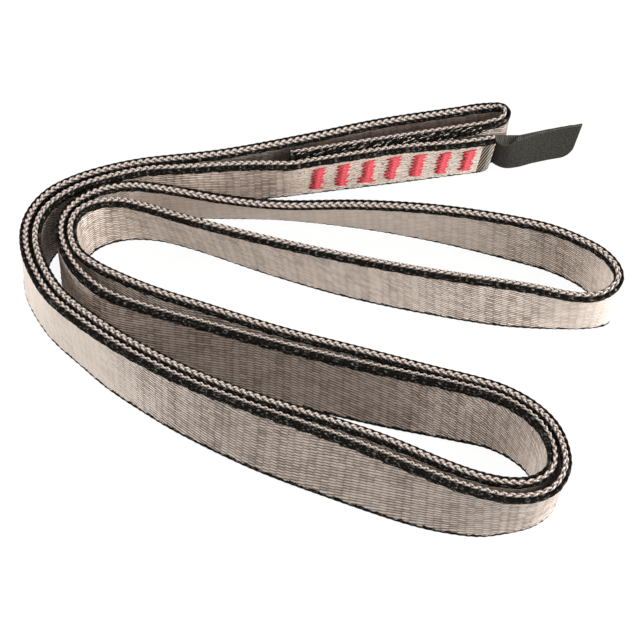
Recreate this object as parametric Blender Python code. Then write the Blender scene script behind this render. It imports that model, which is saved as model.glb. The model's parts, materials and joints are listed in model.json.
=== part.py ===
"""Sewn climbing sling of flat webbing, laid in a loose S fold and standing on its lower edge.

One length of tape is overlapped at its ends and sewn with seven bar tacks, with a folded woven
label caught under the last of them. The route is traced as seen from above, X along the longer
side of the laid sling and Y away from the viewer. All sizes are in metres.
"""

import math

import bmesh
import bpy
import numpy as np
from mathutils import Matrix, Vector

MM = 0.001

# The laid sling
LAID_LENGTH = 156.0 * MM       # along X, to which every share of the route refers
JOINT_X_SHARE = 0.127
JOINT_Y_SHARE = 0.341
JOINT_HEADING = math.radians(10.6)
JOINT_LEAN_START = math.radians(20.0)
JOINT_LEAN_END = math.radians(13.5)

# The tape
TAPE_WIDTH = 20.0 * MM
TAPE_THICKNESS = 2.6 * MM
TAPE_EDGE_RADIUS = 1.1 * MM
STANDING_CUT = 0.5 * MM        # how much of the lower edge is flattened by the weight
CLEARANCE = 0.3 * MM
STRAND_CLEARANCE = 0.4 * MM    # least air between two strands of the fold

# The sewn joint
JOINT_LENGTH = 55.0 * MM
TACK_COUNT = 7
TACK_END_DISTANCE = 6.5 * MM   # from each end of the joint to the middle of the outer tack
TACK_HEIGHT = 12.5 * MM
TACK_WIDTH = 3.0 * MM
TACK_TOOTH = 0.45 * MM
TACK_TEETH = 9
TACK_PAD_THICKNESS = 0.6 * MM
TACK_WEB_WIDTH = 1.0 * MM
TACK_WEB_HEIGHT = 10.0 * MM
TACK_RAISE = 1.0 * MM
TACK_SLANT = math.radians(4.0)

# The woven label
LABEL_WIDTH = 13.0 * MM
LABEL_PLY = 0.3 * MM
LABEL_CORNER_RADIUS = 0.2 * MM
LABEL_SEWN_LENGTH = 9.5 * MM
LABEL_FLAP_LENGTH = 27.0 * MM
LABEL_END_SLANT = math.radians(11.0)
HINGE_OFFSET = 1.0 * MM        # from the tape's cut end to the label's hinge line

# Fineness of the swept shapes
ROUTE_STEP = 1.0 * MM
STATION_STEP = 6.0 * MM
STATION_TURN = math.radians(11.0)
EASE_ROUNDS = 60
EASE_REACH = 14.0 * MM
EASE_SPREAD = 4
CORNER_POINTS = 3
OVERRUN = 4.0 * MM

# The fold in which the joint's far layer turns back. Its stations are shares of the tape's
# thickness, along and across the joint from the end of its middle line, with the lean in degrees.
# A lean is positive where the lower edge lies to the left of the upper edge, along the route.
END_FOLD_SHARES = (
    (1.42, 0.81, 10), (2.10, 1.20, 6), (2.35, 1.88, 0), (2.08, 2.57, -6), (1.43, 3.00, -10),
    (-0.23, 3.40, -13), (-2.42, 3.48, -15))
# Stations of the rest of the route as shares of the laid length, with the lean in degrees. They
# lead from that fold to where the joint's near layer begins.
TOP_RUN_SHARES = (
    (0.108, 0.397, -18), (-0.033, 0.357, -19), (-0.170, 0.314, -14), (-0.308, 0.284, -8))
OUTER_LEFT_BEND_SHARES = (
    (-0.367, 0.264, -6), (-0.417, 0.239, -4), (-0.458, 0.206, -2), (-0.483, 0.164, -1),
    (-0.494, 0.117, -2), (-0.486, 0.062, -1), (-0.464, 0.013, 1), (-0.434, -0.034, 2))
OUTER_FRONT_RUN_SHARES = (
    (-0.388, -0.081, 0), (-0.338, -0.128, -3), (-0.281, -0.171, -6), (-0.218, -0.213, -10),
    (-0.092, -0.284, -15), (0.032, -0.341, -16), (0.157, -0.399, -9), (0.212, -0.420, -2))
OUTER_RIGHT_BEND_SHARES = (
    (0.258, -0.431, 4), (0.295, -0.432, 11), (0.328, -0.425, 16), (0.355, -0.410, 17),
    (0.375, -0.381, 11), (0.380, -0.345, 4), (0.372, -0.302, -2), (0.342, -0.263, -2),
    (0.299, -0.233, -1))
MIDDLE_RUN_BACK_SHARES = (
    (0.252, -0.214, 0), (0.197, -0.197, 1), (0.069, -0.156, 4), (-0.061, -0.113, 5),
    (-0.192, -0.059, 5), (-0.259, -0.031, 5), (-0.318, 0.000, 4))
INNER_LEFT_BEND_SHARES = (
    (-0.369, 0.039, -2), (-0.397, 0.078, -8), (-0.410, 0.120, -6), (-0.404, 0.157, 0),
    (-0.378, 0.183, 6), (-0.334, 0.195, 12), (-0.281, 0.188, 18), (-0.224, 0.168, 20))
LOOP_FRONT_RUN_SHARES = (
    (-0.089, 0.113, 15), (0.043, 0.067, 10), (0.174, 0.031, 8), (0.305, 0.003, 7),
    (0.363, -0.006, 10), (0.411, -0.013, 15))
LOOP_END_SHARES = (
    (0.445, -0.015, 17), (0.472, -0.010, 15), (0.493, 0.005, 8), (0.496, 0.032, 2),
    (0.480, 0.065, -2), (0.450, 0.095, -6))
LOOP_BACK_RUN_SHARES = (
    (0.401, 0.1255, -8), (0.340, 0.148, -10), (0.214, 0.184, -17), (0.078, 0.210, -26),
    (-0.061, 0.224, -34), (-0.160, 0.231, -30), (-0.266, 0.239, -20), (-0.322, 0.237, -15))
SECOND_LEFT_BEND_SHARES = (
    (-0.375, 0.219, -10), (-0.413, 0.187, -6), (-0.431, 0.149, -3), (-0.430, 0.103, -1),
    (-0.418, 0.057, -2), (-0.394, 0.014, -3), (-0.350, -0.030, -4))
MIDDLE_RUN_OUT_SHARES = (
    (-0.290, -0.061, -5), (-0.158, -0.112, -7), (-0.028, -0.159, -9), (0.100, -0.198, -9),
    (0.227, -0.232, -7), (0.282, -0.250, -5))
INNER_RIGHT_BEND_SHARES = (
    (0.323, -0.278, -4), (0.350, -0.312, -4), (0.361, -0.351, -5), (0.354, -0.385, -7),
    (0.330, -0.404, -7), (0.296, -0.408, -6), (0.259, -0.403, -3), (0.212, -0.388, 1))
INNER_FRONT_RUN_SHARES = (
    (0.095, -0.334, 8), (-0.029, -0.283, 9), (-0.155, -0.230, 5), (-0.218, -0.194, 2),
    (-0.282, -0.147, -2), (-0.339, -0.101, -4), (-0.391, -0.056, -4))
THIRD_LEFT_BEND_SHARES = (
    (-0.434, -0.005, -2), (-0.460, 0.048, 0), (-0.472, 0.101, 0), (-0.467, 0.150, 1),
    (-0.447, 0.185, 2), (-0.408, 0.220, 4))
JOINT_APPROACH_SHARES = (
    (-0.358, 0.245, 6), (-0.298, 0.265, 8), (-0.228, 0.273, 10), (-0.160, 0.283, 13),
    (-0.105, 0.290, 16))
ROUTE_SHARES = (
    TOP_RUN_SHARES + OUTER_LEFT_BEND_SHARES + OUTER_FRONT_RUN_SHARES
    + OUTER_RIGHT_BEND_SHARES + MIDDLE_RUN_BACK_SHARES + INNER_LEFT_BEND_SHARES
    + LOOP_FRONT_RUN_SHARES + LOOP_END_SHARES + LOOP_BACK_RUN_SHARES
    + SECOND_LEFT_BEND_SHARES + MIDDLE_RUN_OUT_SHARES + INNER_RIGHT_BEND_SHARES
    + INNER_FRONT_RUN_SHARES + THIRD_LEFT_BEND_SHARES + JOINT_APPROACH_SHARES)
# The label's middle line, as shares of the flap's length along and across the joint, with the
# flap's lean against its root in degrees
LABEL_LINE_SHARES = (
    (0.0, 0.0, 0), (0.04, -0.018, -1), (0.10, -0.080, -2), (0.18, -0.118, -4), (0.30, -0.112, -7),
    (0.46, -0.083, -9), (0.70, -0.060, -11), (0.96, -0.055, -12))

FLAT_REACH = TAPE_WIDTH / 2 - TAPE_EDGE_RADIUS
LAYER_GAP = 2 * (LABEL_PLY + CLEARANCE)
LAYER_SPACING = TAPE_THICKNESS + LAYER_GAP
STRAND_ROOM = (TAPE_THICKNESS + STRAND_CLEARANCE) / 2
TACK_PITCH = (JOINT_LENGTH - 2 * TACK_END_DISTANCE) / (TACK_COUNT - 1)
JOINT_MIDDLE = np.array((JOINT_X_SHARE, JOINT_Y_SHARE)) * LAID_LENGTH
JOINT_ALONG = np.array((math.cos(JOINT_HEADING), math.sin(JOINT_HEADING)))
JOINT_LEFT = np.array((-JOINT_ALONG[1], JOINT_ALONG[0]))


def middle_height(lean):
    """Height of the tape's middle line where its lower edge sinks by the standing cut."""
    inset = TAPE_THICKNESS / 2 - TAPE_EDGE_RADIUS
    rise = FLAT_REACH * np.cos(lean) + inset * np.abs(np.sin(lean))
    return rise + TAPE_EDGE_RADIUS - STANDING_CUT


def joint_lean(reach):
    """Lean of the joint at a distance from its middle, seen from the front to the right."""
    return np.interp(reach, (-JOINT_LENGTH / 2, JOINT_LENGTH / 2),
                     (JOINT_LEAN_START, JOINT_LEAN_END))


def joint_line(side):
    """Points of one layer of the joint, side +1 for the far layer, with the joint's lean."""
    reach = np.linspace(-JOINT_LENGTH / 2, JOINT_LENGTH / 2, 2 * TACK_COUNT)
    lean = joint_lean(reach)
    offset = side * LAYER_SPACING / 2 / np.cos(lean)
    places = JOINT_MIDDLE + offset[:, None] * JOINT_LEFT + reach[:, None] * JOINT_ALONG
    return np.column_stack((places, lean))


def control_points():
    """The far layer, the end fold, the rest of the route and the near layer, in that order."""
    fold = np.array(END_FOLD_SHARES)
    reach, offset = fold[:, :2].T[:, :, None] * TAPE_THICKNESS
    places = JOINT_MIDDLE + (JOINT_LENGTH / 2 + reach) * JOINT_ALONG + offset * JOINT_LEFT
    turn_back = np.column_stack((places, np.radians(fold[:, 2])))
    table = np.array(ROUTE_SHARES)
    rest = np.column_stack((table[:, :2] * LAID_LENGTH, np.radians(table[:, 2])))
    return np.vstack((joint_line(1), turn_back, rest, joint_line(-1)))


def smooth_curve(points, step):
    """Points at an even step on the centripetal Catmull-Rom curve through the given points."""
    ends = np.vstack((2 * points[0] - points[1], points, 2 * points[-1] - points[-2]))
    knots = np.sqrt(np.linalg.norm(np.diff(ends[:, :2], axis=0), axis=1))
    times = np.concatenate(((0.0,), np.cumsum(knots)))
    pieces = []
    for i in range(1, len(ends) - 2):
        t = np.linspace(times[i], times[i + 1], 24, endpoint=False)[:, None]
        a = [_blend(ends[i + j - 1], ends[i + j], times[i + j - 1], times[i + j], t)
             for j in range(3)]
        b = [_blend(a[j], a[j + 1], times[i + j - 1], times[i + j + 1], t) for j in range(2)]
        pieces.append(_blend(b[0], b[1], times[i], times[i + 1], t))
    dense = np.vstack(pieces + [points[-1:]])
    reach = arc_length(dense)
    evenly = np.linspace(0.0, reach[-1], int(round(reach[-1] / step)) + 1)
    return np.column_stack([np.interp(evenly, reach, dense[:, k]) for k in range(3)])


def _blend(first, second, start, end, t):
    """Straight blend of two values between two times."""
    return ((end - t) * first + (t - start) * second) / (end - start)


def arc_length(points):
    """Distance run along a line up to each of its points, seen from above."""
    steps = np.linalg.norm(np.diff(points[:, :2], axis=0), axis=1)
    return np.concatenate(((0.0,), np.cumsum(steps)))


def left_of(line):
    """Unit vector to the left of the direction of travel at each point of a line."""
    along = np.gradient(line[:, :2], axis=0)
    along /= np.linalg.norm(along, axis=1)[:, None]
    return np.column_stack((-along[:, 1], along[:, 0]))


def ease_apart(line, free, room):
    """Push strands that lie closer than their rooms allow away from each other."""
    eased = line.copy()
    needed = room[:, None] + room
    steps = np.arange(len(line))
    apart = np.abs(steps[:, None] - steps) * ROUTE_STEP > EASE_REACH
    kernel = np.hanning(2 * EASE_SPREAD + 3)[1:-1]
    kernel /= kernel.sum()
    for _ in range(EASE_ROUNDS):
        away = eased[:, None] - eased
        distance = np.linalg.norm(away, axis=2)
        shortfall = np.where(apart, np.clip(needed - distance, 0.0, None), 0.0)
        nearest = shortfall.argmax(axis=1)
        lack = shortfall[steps, nearest]
        close = lack > 0.0
        pairs = steps[close], nearest[close]
        push = np.zeros_like(eased)
        push[close] = away[pairs] * (lack[close] / distance[pairs] / 2)[:, None]
        push = np.column_stack([np.convolve(push[:, k], kernel, mode="same") for k in range(2)])
        eased += push * free[:, None]
    return eased


def laid_route():
    """Middle line and lean of the laid tape, at an even step, with its strands eased apart."""
    route = smooth_curve(control_points(), ROUTE_STEP)
    reach = arc_length(route)
    inside = np.minimum(reach, reach[-1] - reach) - JOINT_LENGTH
    free = np.clip(inside / EASE_REACH, 0.0, 1.0)
    tacked = np.clip(-inside / LAYER_SPACING, 0.0, 1.0)
    room = STRAND_ROOM + tacked * (CLEARANCE + TACK_PAD_THICKNESS)
    left = left_of(route)
    half = left * (FLAT_REACH * np.sin(route[:, 2]))[:, None]
    lower = ease_apart(route[:, :2] + half, free, room)
    upper = ease_apart(route[:, :2] - half, free, room)
    middle = (lower + upper) / 2
    across = ((lower - upper) * left_of(middle)).sum(axis=1) / (2 * FLAT_REACH)
    return np.column_stack((middle, np.arcsin(across)))


def stations_of(route):
    """The route's points that the swept tape needs: few where it is straight, more in bends."""
    left = left_of(route)
    heading = np.unwrap(np.arctan2(-left[:, 0], left[:, 1]))
    turned = np.concatenate(((0.0,), np.cumsum(np.abs(np.diff(heading)))))
    cost = turned / STATION_TURN + arc_length(route) / STATION_STEP
    wanted = np.linspace(0.0, cost[-1], int(math.ceil(cost[-1])) + 1)
    return np.column_stack([np.interp(wanted, cost, route[:, k]) for k in range(3)])


def joint_frame(reach):
    """Frame in the joint, at a distance from its middle towards the label.

    X runs along the tape, Y through it to the back and Z up its face.
    """
    lean = float(joint_lean(reach))
    along = Vector((*JOINT_ALONG, 0.0))
    left = Vector((*JOINT_LEFT, 0.0))
    up = Vector((0.0, 0.0, 1.0))
    through = left * math.cos(lean) + up * math.sin(lean)
    face = up * math.cos(lean) - left * math.sin(lean)
    frame = Matrix((along, through, face)).transposed().to_4x4()
    frame.translation = Vector((*JOINT_MIDDLE, 0.0)) + reach * along + float(middle_height(lean)) * up
    return frame


def material(name, colour, roughness):
    """Plain dielectric material of one part."""
    made = bpy.data.materials.new(name)
    made.use_nodes = True
    shader = made.node_tree.nodes["Principled BSDF"]
    shader.inputs["Base Color"].default_value = (*colour, 1.0)
    shader.inputs["Roughness"].default_value = roughness
    shader.inputs["Metallic"].default_value = 0.0
    return made


def collection(name):
    """New collection in the scene."""
    made = bpy.data.collections.new(name)
    bpy.context.scene.collection.children.link(made)
    return made


def place(data, name, group, parent, matrix=None, look=None):
    """Object for some data, linked to a collection and set under its parent."""
    made = bpy.data.objects.new(name, data)
    group.objects.link(made)
    made.parent = parent
    if matrix is not None:
        made.matrix_local = matrix
    if look is not None:
        data.materials.append(look)
    return made


def as_guide(made):
    """Mark an object as a cutter or guide, which is no part of the model."""
    made.hide_render = True
    made.display_type = "WIRE"
    return made


def poly_curve(name, outlines, dimensions):
    """Curve with one POLY spline for each outline."""
    curve = bpy.data.curves.new(name, "CURVE")
    curve.dimensions = dimensions
    for points, cyclic in outlines:
        spline = curve.splines.new("POLY")
        spline.points.add(len(points) - 1)
        spline.use_cyclic_u = cyclic
        for point, place_on in zip(spline.points, points):
            point.co = (*place_on, 1.0)
    return curve


def mesh_of(made, name):
    """Closed mesh of a curve object, with its caps welded; the curve is removed."""
    depsgraph = bpy.context.evaluated_depsgraph_get()
    mesh = bpy.data.meshes.new_from_object(made.evaluated_get(depsgraph))
    mesh.name = name
    shape = bmesh.new()
    shape.from_mesh(mesh)
    bmesh.ops.remove_doubles(shape, verts=shape.verts, dist=ROUTE_STEP / 100)
    bmesh.ops.recalc_face_normals(shape, faces=shape.faces)
    shape.to_mesh(mesh)
    shape.free()
    bpy.data.objects.remove(made)
    return mesh


def box_mesh(name, size):
    """Box centred on its origin."""
    mesh = bpy.data.meshes.new(name)
    shape = bmesh.new()
    bmesh.ops.create_cube(shape, size=1.0, matrix=Matrix.Diagonal((*size, 1.0)))
    shape.to_mesh(mesh)
    shape.free()
    return mesh


def boolean(target, other, operation):
    """Exact Boolean modifier."""
    step = target.modifiers.new(operation.lower(), "BOOLEAN")
    step.operation = operation
    step.object = other
    step.solver = "EXACT"


def band_section(thickness, width, radius):
    """Outline of a flat band with rounded edges, its thickness along X and its width along Y."""
    outline = []
    for quarter in range(4):
        start = quarter * math.pi / 2
        side_x = math.copysign(thickness / 2 - radius, math.cos(start + math.pi / 4))
        side_y = math.copysign(width / 2 - radius, math.sin(start + math.pi / 4))
        for k in range(CORNER_POINTS):
            angle = start + k / (CORNER_POINTS - 1) * math.pi / 2
            outline.append((side_x + radius * math.cos(angle),
                            side_y + radius * math.sin(angle), 0.0))
    return outline


def swept_band(name, section, line, group, guides, parent):
    """Closed mesh of a band that runs along a line of points with a lean as fourth value."""
    profile = place(poly_curve(f"{name}_profile", ((section, True),), "2D"),
                    f"{name}_profile", guides, parent)
    curve = poly_curve(name, ((line[:, :3], False),), "3D")
    curve.twist_mode = "Z_UP"
    curve.bevel_mode = "OBJECT"
    curve.bevel_object = as_guide(profile)
    curve.use_fill_caps = True
    for point, lean in zip(curve.splines[0].points, line[:, 3]):
        point.tilt = lean
    return mesh_of(place(curve, f"{name}_route", group, None), name)


def build_tape(group, guides, parent, cutters, look):
    """The webbing, swept along the laid route, cut flat below and slotted for the tacks."""
    route = stations_of(laid_route())
    line = np.column_stack((route[:, :2], middle_height(route[:, 2]), route[:, 2]))
    section = band_section(TAPE_THICKNESS, TAPE_WIDTH, TAPE_EDGE_RADIUS)
    mesh = swept_band("webbing", section, line, group, guides, parent)
    tape = place(mesh, "webbing", group, parent, look=look)
    ground = box_mesh("ground_cutter", (3 * LAID_LENGTH, 3 * LAID_LENGTH, OVERRUN))
    under = Matrix.Translation((0.0, 0.0, -OVERRUN / 2))
    boolean(tape, as_guide(place(ground, "ground_cutter", guides, parent, under)), "DIFFERENCE")
    for cutter in cutters:
        boolean(tape, cutter, "DIFFERENCE")
    return tape


def tack_outline():
    """Zigzag outline of one satin-stitched pad, in its own face."""
    rise = TACK_HEIGHT / (2 * TACK_TEETH)
    right = []
    for k in range(2 * TACK_TEETH + 1):
        out = TACK_WIDTH / 2 + (TACK_TOOTH if k % 2 else 0.0)
        right.append((out, -TACK_HEIGHT / 2 + k * rise, 0.0))
    left = [(-x, y, 0.0) for x, y, _ in reversed(right)]
    return right + left


def build_tacks(group, guides, parent, look):
    """Seven bar tacks, each with a pad on both faces and the stitches between, and their slots."""
    cutters = []
    face_reach = LAYER_SPACING / 2 + TAPE_THICKNESS / 2
    pad_centre = face_reach + CLEARANCE + TACK_PAD_THICKNESS / 2
    stand_up = Matrix.Rotation(math.pi / 2, 4, "X")
    web = box_mesh("tack_web", (TACK_WEB_WIDTH, 2 * pad_centre, TACK_WEB_HEIGHT))
    slot = box_mesh("tack_slot", (TACK_WEB_WIDTH + 2 * CLEARANCE, 2 * (face_reach + OVERRUN),
                                  TACK_WEB_HEIGHT + 2 * CLEARANCE))
    for index in range(TACK_COUNT):
        reach = (index - (TACK_COUNT - 1) / 2) * TACK_PITCH
        seat = (joint_frame(reach) @ Matrix.Translation((0.0, 0.0, TACK_RAISE))
                @ Matrix.Rotation(TACK_SLANT, 4, "Y"))
        name = f"bar_tack_{index + 1}"
        outline = poly_curve(name, ((tack_outline(), True),), "2D")
        outline.fill_mode = "BOTH"
        outline.extrude = TACK_PAD_THICKNESS / 2
        pad = mesh_of(place(outline, name, group, None), f"{name}_pad")
        front = place(pad, name, group, parent,
                      seat @ Matrix.Translation((0.0, -pad_centre, 0.0)) @ stand_up, look)
        back = place(pad, f"{name}_back", guides, parent,
                     seat @ Matrix.Translation((0.0, pad_centre, 0.0)) @ stand_up)
        through = place(web, f"{name}_web", guides, parent, seat)
        boolean(front, as_guide(through), "UNION")
        boolean(front, as_guide(back), "UNION")
        cutters.append(as_guide(place(slot, f"{name}_slot", guides, parent, seat)))
    return cutters


def build_sewn_end(group, parent, cutter, look):
    """The part of the folded label that is caught between the layers under the last tack."""
    inner = JOINT_LENGTH / 2 - LABEL_SEWN_LENGTH
    outer = JOINT_LENGTH / 2 + HINGE_OFFSET - LABEL_PLY - CLEARANCE
    slab = box_mesh("label_sewn_end", (outer - inner, 2 * LABEL_PLY, LABEL_WIDTH))
    sewn = place(slab, "label_sewn_end", group, parent, joint_frame((inner + outer) / 2), look)
    boolean(sewn, cutter, "DIFFERENCE")
    return sewn


def build_flap(group, guides, parent, look):
    """The free part of the folded label, with its origin on the line where it swings."""
    table = np.array(LABEL_LINE_SHARES, dtype=float)
    bends = np.column_stack((table[:, :2] * LABEL_FLAP_LENGTH, np.radians(table[:, 2])))
    path = stations_of(smooth_curve(bends, ROUTE_STEP))
    line = np.column_stack((path[:, :2], np.zeros(len(path)), path[:, 2]))
    section = band_section(2 * LABEL_PLY, LABEL_WIDTH, LABEL_CORNER_RADIUS)
    mesh = swept_band("label_flap", section, line, group, guides, parent)
    seat = joint_frame(JOINT_LENGTH / 2 + HINGE_OFFSET)
    flap = place(mesh, "label_flap", group, parent, seat, look)
    trim = box_mesh("label_trim", (OVERRUN, LABEL_WIDTH, 3 * LABEL_WIDTH))
    tip = Matrix.Translation((*path[-1, :2], 0.0)) @ Matrix.Rotation(LABEL_END_SLANT, 4, "Y")
    beyond = Matrix.Translation((OVERRUN / 2 - LABEL_WIDTH / 2 * math.sin(LABEL_END_SLANT), 0.0, 0.0))
    boolean(flap, as_guide(place(trim, "label_trim", guides, parent, seat @ tip @ beyond)),
            "DIFFERENCE")
    return flap


def centre_on_origin(holder, group):
    """Move the whole model so that its outline, seen from above, is centred on the origin."""
    bpy.context.view_layer.update()
    depsgraph = bpy.context.evaluated_depsgraph_get()
    corners = []
    for made in group.objects:
        solid = made.evaluated_get(depsgraph)
        corners += [made.matrix_world @ vertex.co for vertex in solid.data.vertices]
    spots = np.array([tuple(corner) for corner in corners])
    middle = (spots.min(axis=0) + spots.max(axis=0)) / 2
    holder.location = (-middle[0], -middle[1], 0.0)
    bpy.context.view_layer.update()


def main():
    """Build the sling."""
    for old in list(bpy.data.objects):
        bpy.data.objects.remove(old)
    group = collection("climbing_sling")
    guides = collection("climbing_sling_cutters")
    holder = bpy.data.objects.new("laid_sling", None)
    group.objects.link(holder)
    webbing_look = material("taupe_webbing", (0.43, 0.35, 0.30), 0.72)
    thread_look = material("red_thread", (0.76, 0.07, 0.10), 0.6)
    label_look = material("charcoal_label", (0.035, 0.034, 0.03), 0.85)
    cutters = build_tacks(group, guides, holder, thread_look)
    build_tape(group, guides, holder, cutters, webbing_look)
    build_sewn_end(group, holder, cutters[-1], label_look)
    build_flap(group, guides, holder, label_look)
    group.objects.unlink(holder)
    guides.objects.link(holder)
    centre_on_origin(holder, group)


main()
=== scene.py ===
"""Looks of a sewn climbing sling: woven tape, plaited selvages, bar tacks and a folded label.

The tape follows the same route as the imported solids. All lengths are in metres, in their frame.
"""

import json
import logging
import math
from dataclasses import dataclass, field
from enum import Enum

import bpy
import numpy as np
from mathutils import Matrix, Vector


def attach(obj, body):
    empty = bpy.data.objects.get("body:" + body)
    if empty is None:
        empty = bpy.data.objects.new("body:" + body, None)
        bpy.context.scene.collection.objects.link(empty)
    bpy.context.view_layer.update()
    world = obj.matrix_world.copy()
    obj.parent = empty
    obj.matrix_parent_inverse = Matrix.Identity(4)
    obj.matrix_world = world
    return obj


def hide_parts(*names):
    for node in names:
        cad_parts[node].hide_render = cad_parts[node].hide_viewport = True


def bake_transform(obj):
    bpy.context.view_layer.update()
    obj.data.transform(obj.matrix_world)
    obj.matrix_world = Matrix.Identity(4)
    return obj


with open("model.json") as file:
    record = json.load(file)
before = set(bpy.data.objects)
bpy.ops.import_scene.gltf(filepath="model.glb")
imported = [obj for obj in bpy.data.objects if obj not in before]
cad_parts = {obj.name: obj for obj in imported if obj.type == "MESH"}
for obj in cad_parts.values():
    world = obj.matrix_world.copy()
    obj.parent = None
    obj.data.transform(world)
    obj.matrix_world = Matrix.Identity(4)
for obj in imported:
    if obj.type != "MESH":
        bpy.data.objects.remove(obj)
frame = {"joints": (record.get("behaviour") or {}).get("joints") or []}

MM = 0.001
TURN = 2 * math.pi
WHITE = (1.0, 1.0, 1.0, 1.0)
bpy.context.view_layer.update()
LOG = logging.getLogger("climbing_sling")

# One lobe of a plait along the tape, and the least height above the floor
LOBE_PITCH = 1.97 * MM
FLOOR_GAP = 0.03 * MM

# Angles of the points round a thread, and the points on each span of a smooth curve
THREAD_SIDES = 7
THREAD_TURN = TURN * np.arange(THREAD_SIDES) / THREAD_SIDES
SPAN_POINTS = 24

# The tack that widens towards its foot, and by how much
FLARED_TACK = 3
FLARED_FOOT = 1.5 * MM

Array = np.ndarray
Colour = tuple[float, float, float, float]
Spot = tuple[float, float, float]

# Stations of the tape's route, as in the CAD source: shares of the laid length and the lean in
# degrees. The end fold is in shares of the tape's thickness, from the joint's right end.
END_FOLD_SHARES = (
    (1.42, 0.81, 10), (2.10, 1.20, 6), (2.35, 1.88, 0), (2.08, 2.57, -6), (1.43, 3.00, -10),
    (-0.23, 3.40, -13), (-2.42, 3.48, -15))
TOP_RUN_SHARES = (
    (0.108, 0.397, -18), (-0.033, 0.357, -19), (-0.170, 0.314, -14), (-0.308, 0.284, -8))
OUTER_LEFT_BEND_SHARES = (
    (-0.367, 0.264, -6), (-0.417, 0.239, -4), (-0.458, 0.206, -2), (-0.483, 0.164, -1),
    (-0.494, 0.117, -2), (-0.486, 0.062, -1), (-0.464, 0.013, 1), (-0.434, -0.034, 2))
OUTER_FRONT_RUN_SHARES = (
    (-0.388, -0.081, 0), (-0.338, -0.128, -3), (-0.281, -0.171, -6), (-0.218, -0.213, -10),
    (-0.092, -0.284, -15), (0.032, -0.341, -16), (0.157, -0.399, -9), (0.212, -0.420, -2))
OUTER_RIGHT_BEND_SHARES = (
    (0.258, -0.431, 4), (0.295, -0.432, 11), (0.328, -0.425, 16), (0.355, -0.410, 17),
    (0.375, -0.381, 11), (0.380, -0.345, 4), (0.372, -0.302, -2), (0.342, -0.263, -2),
    (0.299, -0.233, -1))
MIDDLE_RUN_BACK_SHARES = (
    (0.252, -0.214, 0), (0.197, -0.197, 1), (0.069, -0.156, 4), (-0.061, -0.113, 5),
    (-0.192, -0.059, 5), (-0.259, -0.031, 5), (-0.318, 0.000, 4))
INNER_LEFT_BEND_SHARES = (
    (-0.369, 0.039, -2), (-0.397, 0.078, -8), (-0.410, 0.120, -6), (-0.404, 0.157, 0),
    (-0.378, 0.183, 6), (-0.334, 0.195, 12), (-0.281, 0.188, 18), (-0.224, 0.168, 20))
LOOP_FRONT_RUN_SHARES = (
    (-0.089, 0.113, 15), (0.043, 0.067, 10), (0.174, 0.031, 8), (0.305, 0.003, 7),
    (0.363, -0.006, 10), (0.411, -0.013, 15))
LOOP_END_SHARES = (
    (0.445, -0.015, 17), (0.472, -0.010, 15), (0.493, 0.005, 8), (0.496, 0.032, 2),
    (0.480, 0.065, -2), (0.450, 0.095, -6))
LOOP_BACK_RUN_SHARES = (
    (0.401, 0.1255, -8), (0.340, 0.148, -10), (0.214, 0.184, -17), (0.078, 0.210, -26),
    (-0.061, 0.224, -34), (-0.160, 0.231, -30), (-0.266, 0.239, -20), (-0.322, 0.237, -15))
SECOND_LEFT_BEND_SHARES = (
    (-0.375, 0.219, -10), (-0.413, 0.187, -6), (-0.431, 0.149, -3), (-0.430, 0.103, -1),
    (-0.418, 0.057, -2), (-0.394, 0.014, -3), (-0.350, -0.030, -4))
MIDDLE_RUN_OUT_SHARES = (
    (-0.290, -0.061, -5), (-0.158, -0.112, -7), (-0.028, -0.159, -9), (0.100, -0.198, -9),
    (0.227, -0.232, -7), (0.282, -0.250, -5))
INNER_RIGHT_BEND_SHARES = (
    (0.323, -0.278, -4), (0.350, -0.312, -4), (0.361, -0.351, -5), (0.354, -0.385, -7),
    (0.330, -0.404, -7), (0.296, -0.408, -6), (0.259, -0.403, -3), (0.212, -0.388, 1))
INNER_FRONT_RUN_SHARES = (
    (0.095, -0.334, 8), (-0.029, -0.283, 9), (-0.155, -0.230, 5), (-0.218, -0.194, 2),
    (-0.282, -0.147, -2), (-0.339, -0.101, -4), (-0.391, -0.056, -4))
THIRD_LEFT_BEND_SHARES = (
    (-0.434, -0.005, -2), (-0.460, 0.048, 0), (-0.472, 0.101, 0), (-0.467, 0.150, 1),
    (-0.447, 0.185, 2), (-0.408, 0.220, 4))
JOINT_APPROACH_SHARES = (
    (-0.358, 0.245, 6), (-0.298, 0.265, 8), (-0.228, 0.273, 10), (-0.160, 0.283, 13),
    (-0.105, 0.290, 16))
ROUTE_SHARES = (
    TOP_RUN_SHARES + OUTER_LEFT_BEND_SHARES + OUTER_FRONT_RUN_SHARES
    + OUTER_RIGHT_BEND_SHARES + MIDDLE_RUN_BACK_SHARES + INNER_LEFT_BEND_SHARES
    + LOOP_FRONT_RUN_SHARES + LOOP_END_SHARES + LOOP_BACK_RUN_SHARES
    + SECOND_LEFT_BEND_SHARES + MIDDLE_RUN_OUT_SHARES + INNER_RIGHT_BEND_SHARES
    + INNER_FRONT_RUN_SHARES + THIRD_LEFT_BEND_SHARES + JOINT_APPROACH_SHARES)
LABEL_LINE_SHARES = (
    (0.0, 0.0, 0), (0.04, -0.018, -1), (0.10, -0.080, -2), (0.18, -0.118, -4), (0.30, -0.112, -7),
    (0.46, -0.083, -9), (0.70, -0.060, -11), (0.96, -0.055, -12))

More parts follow.
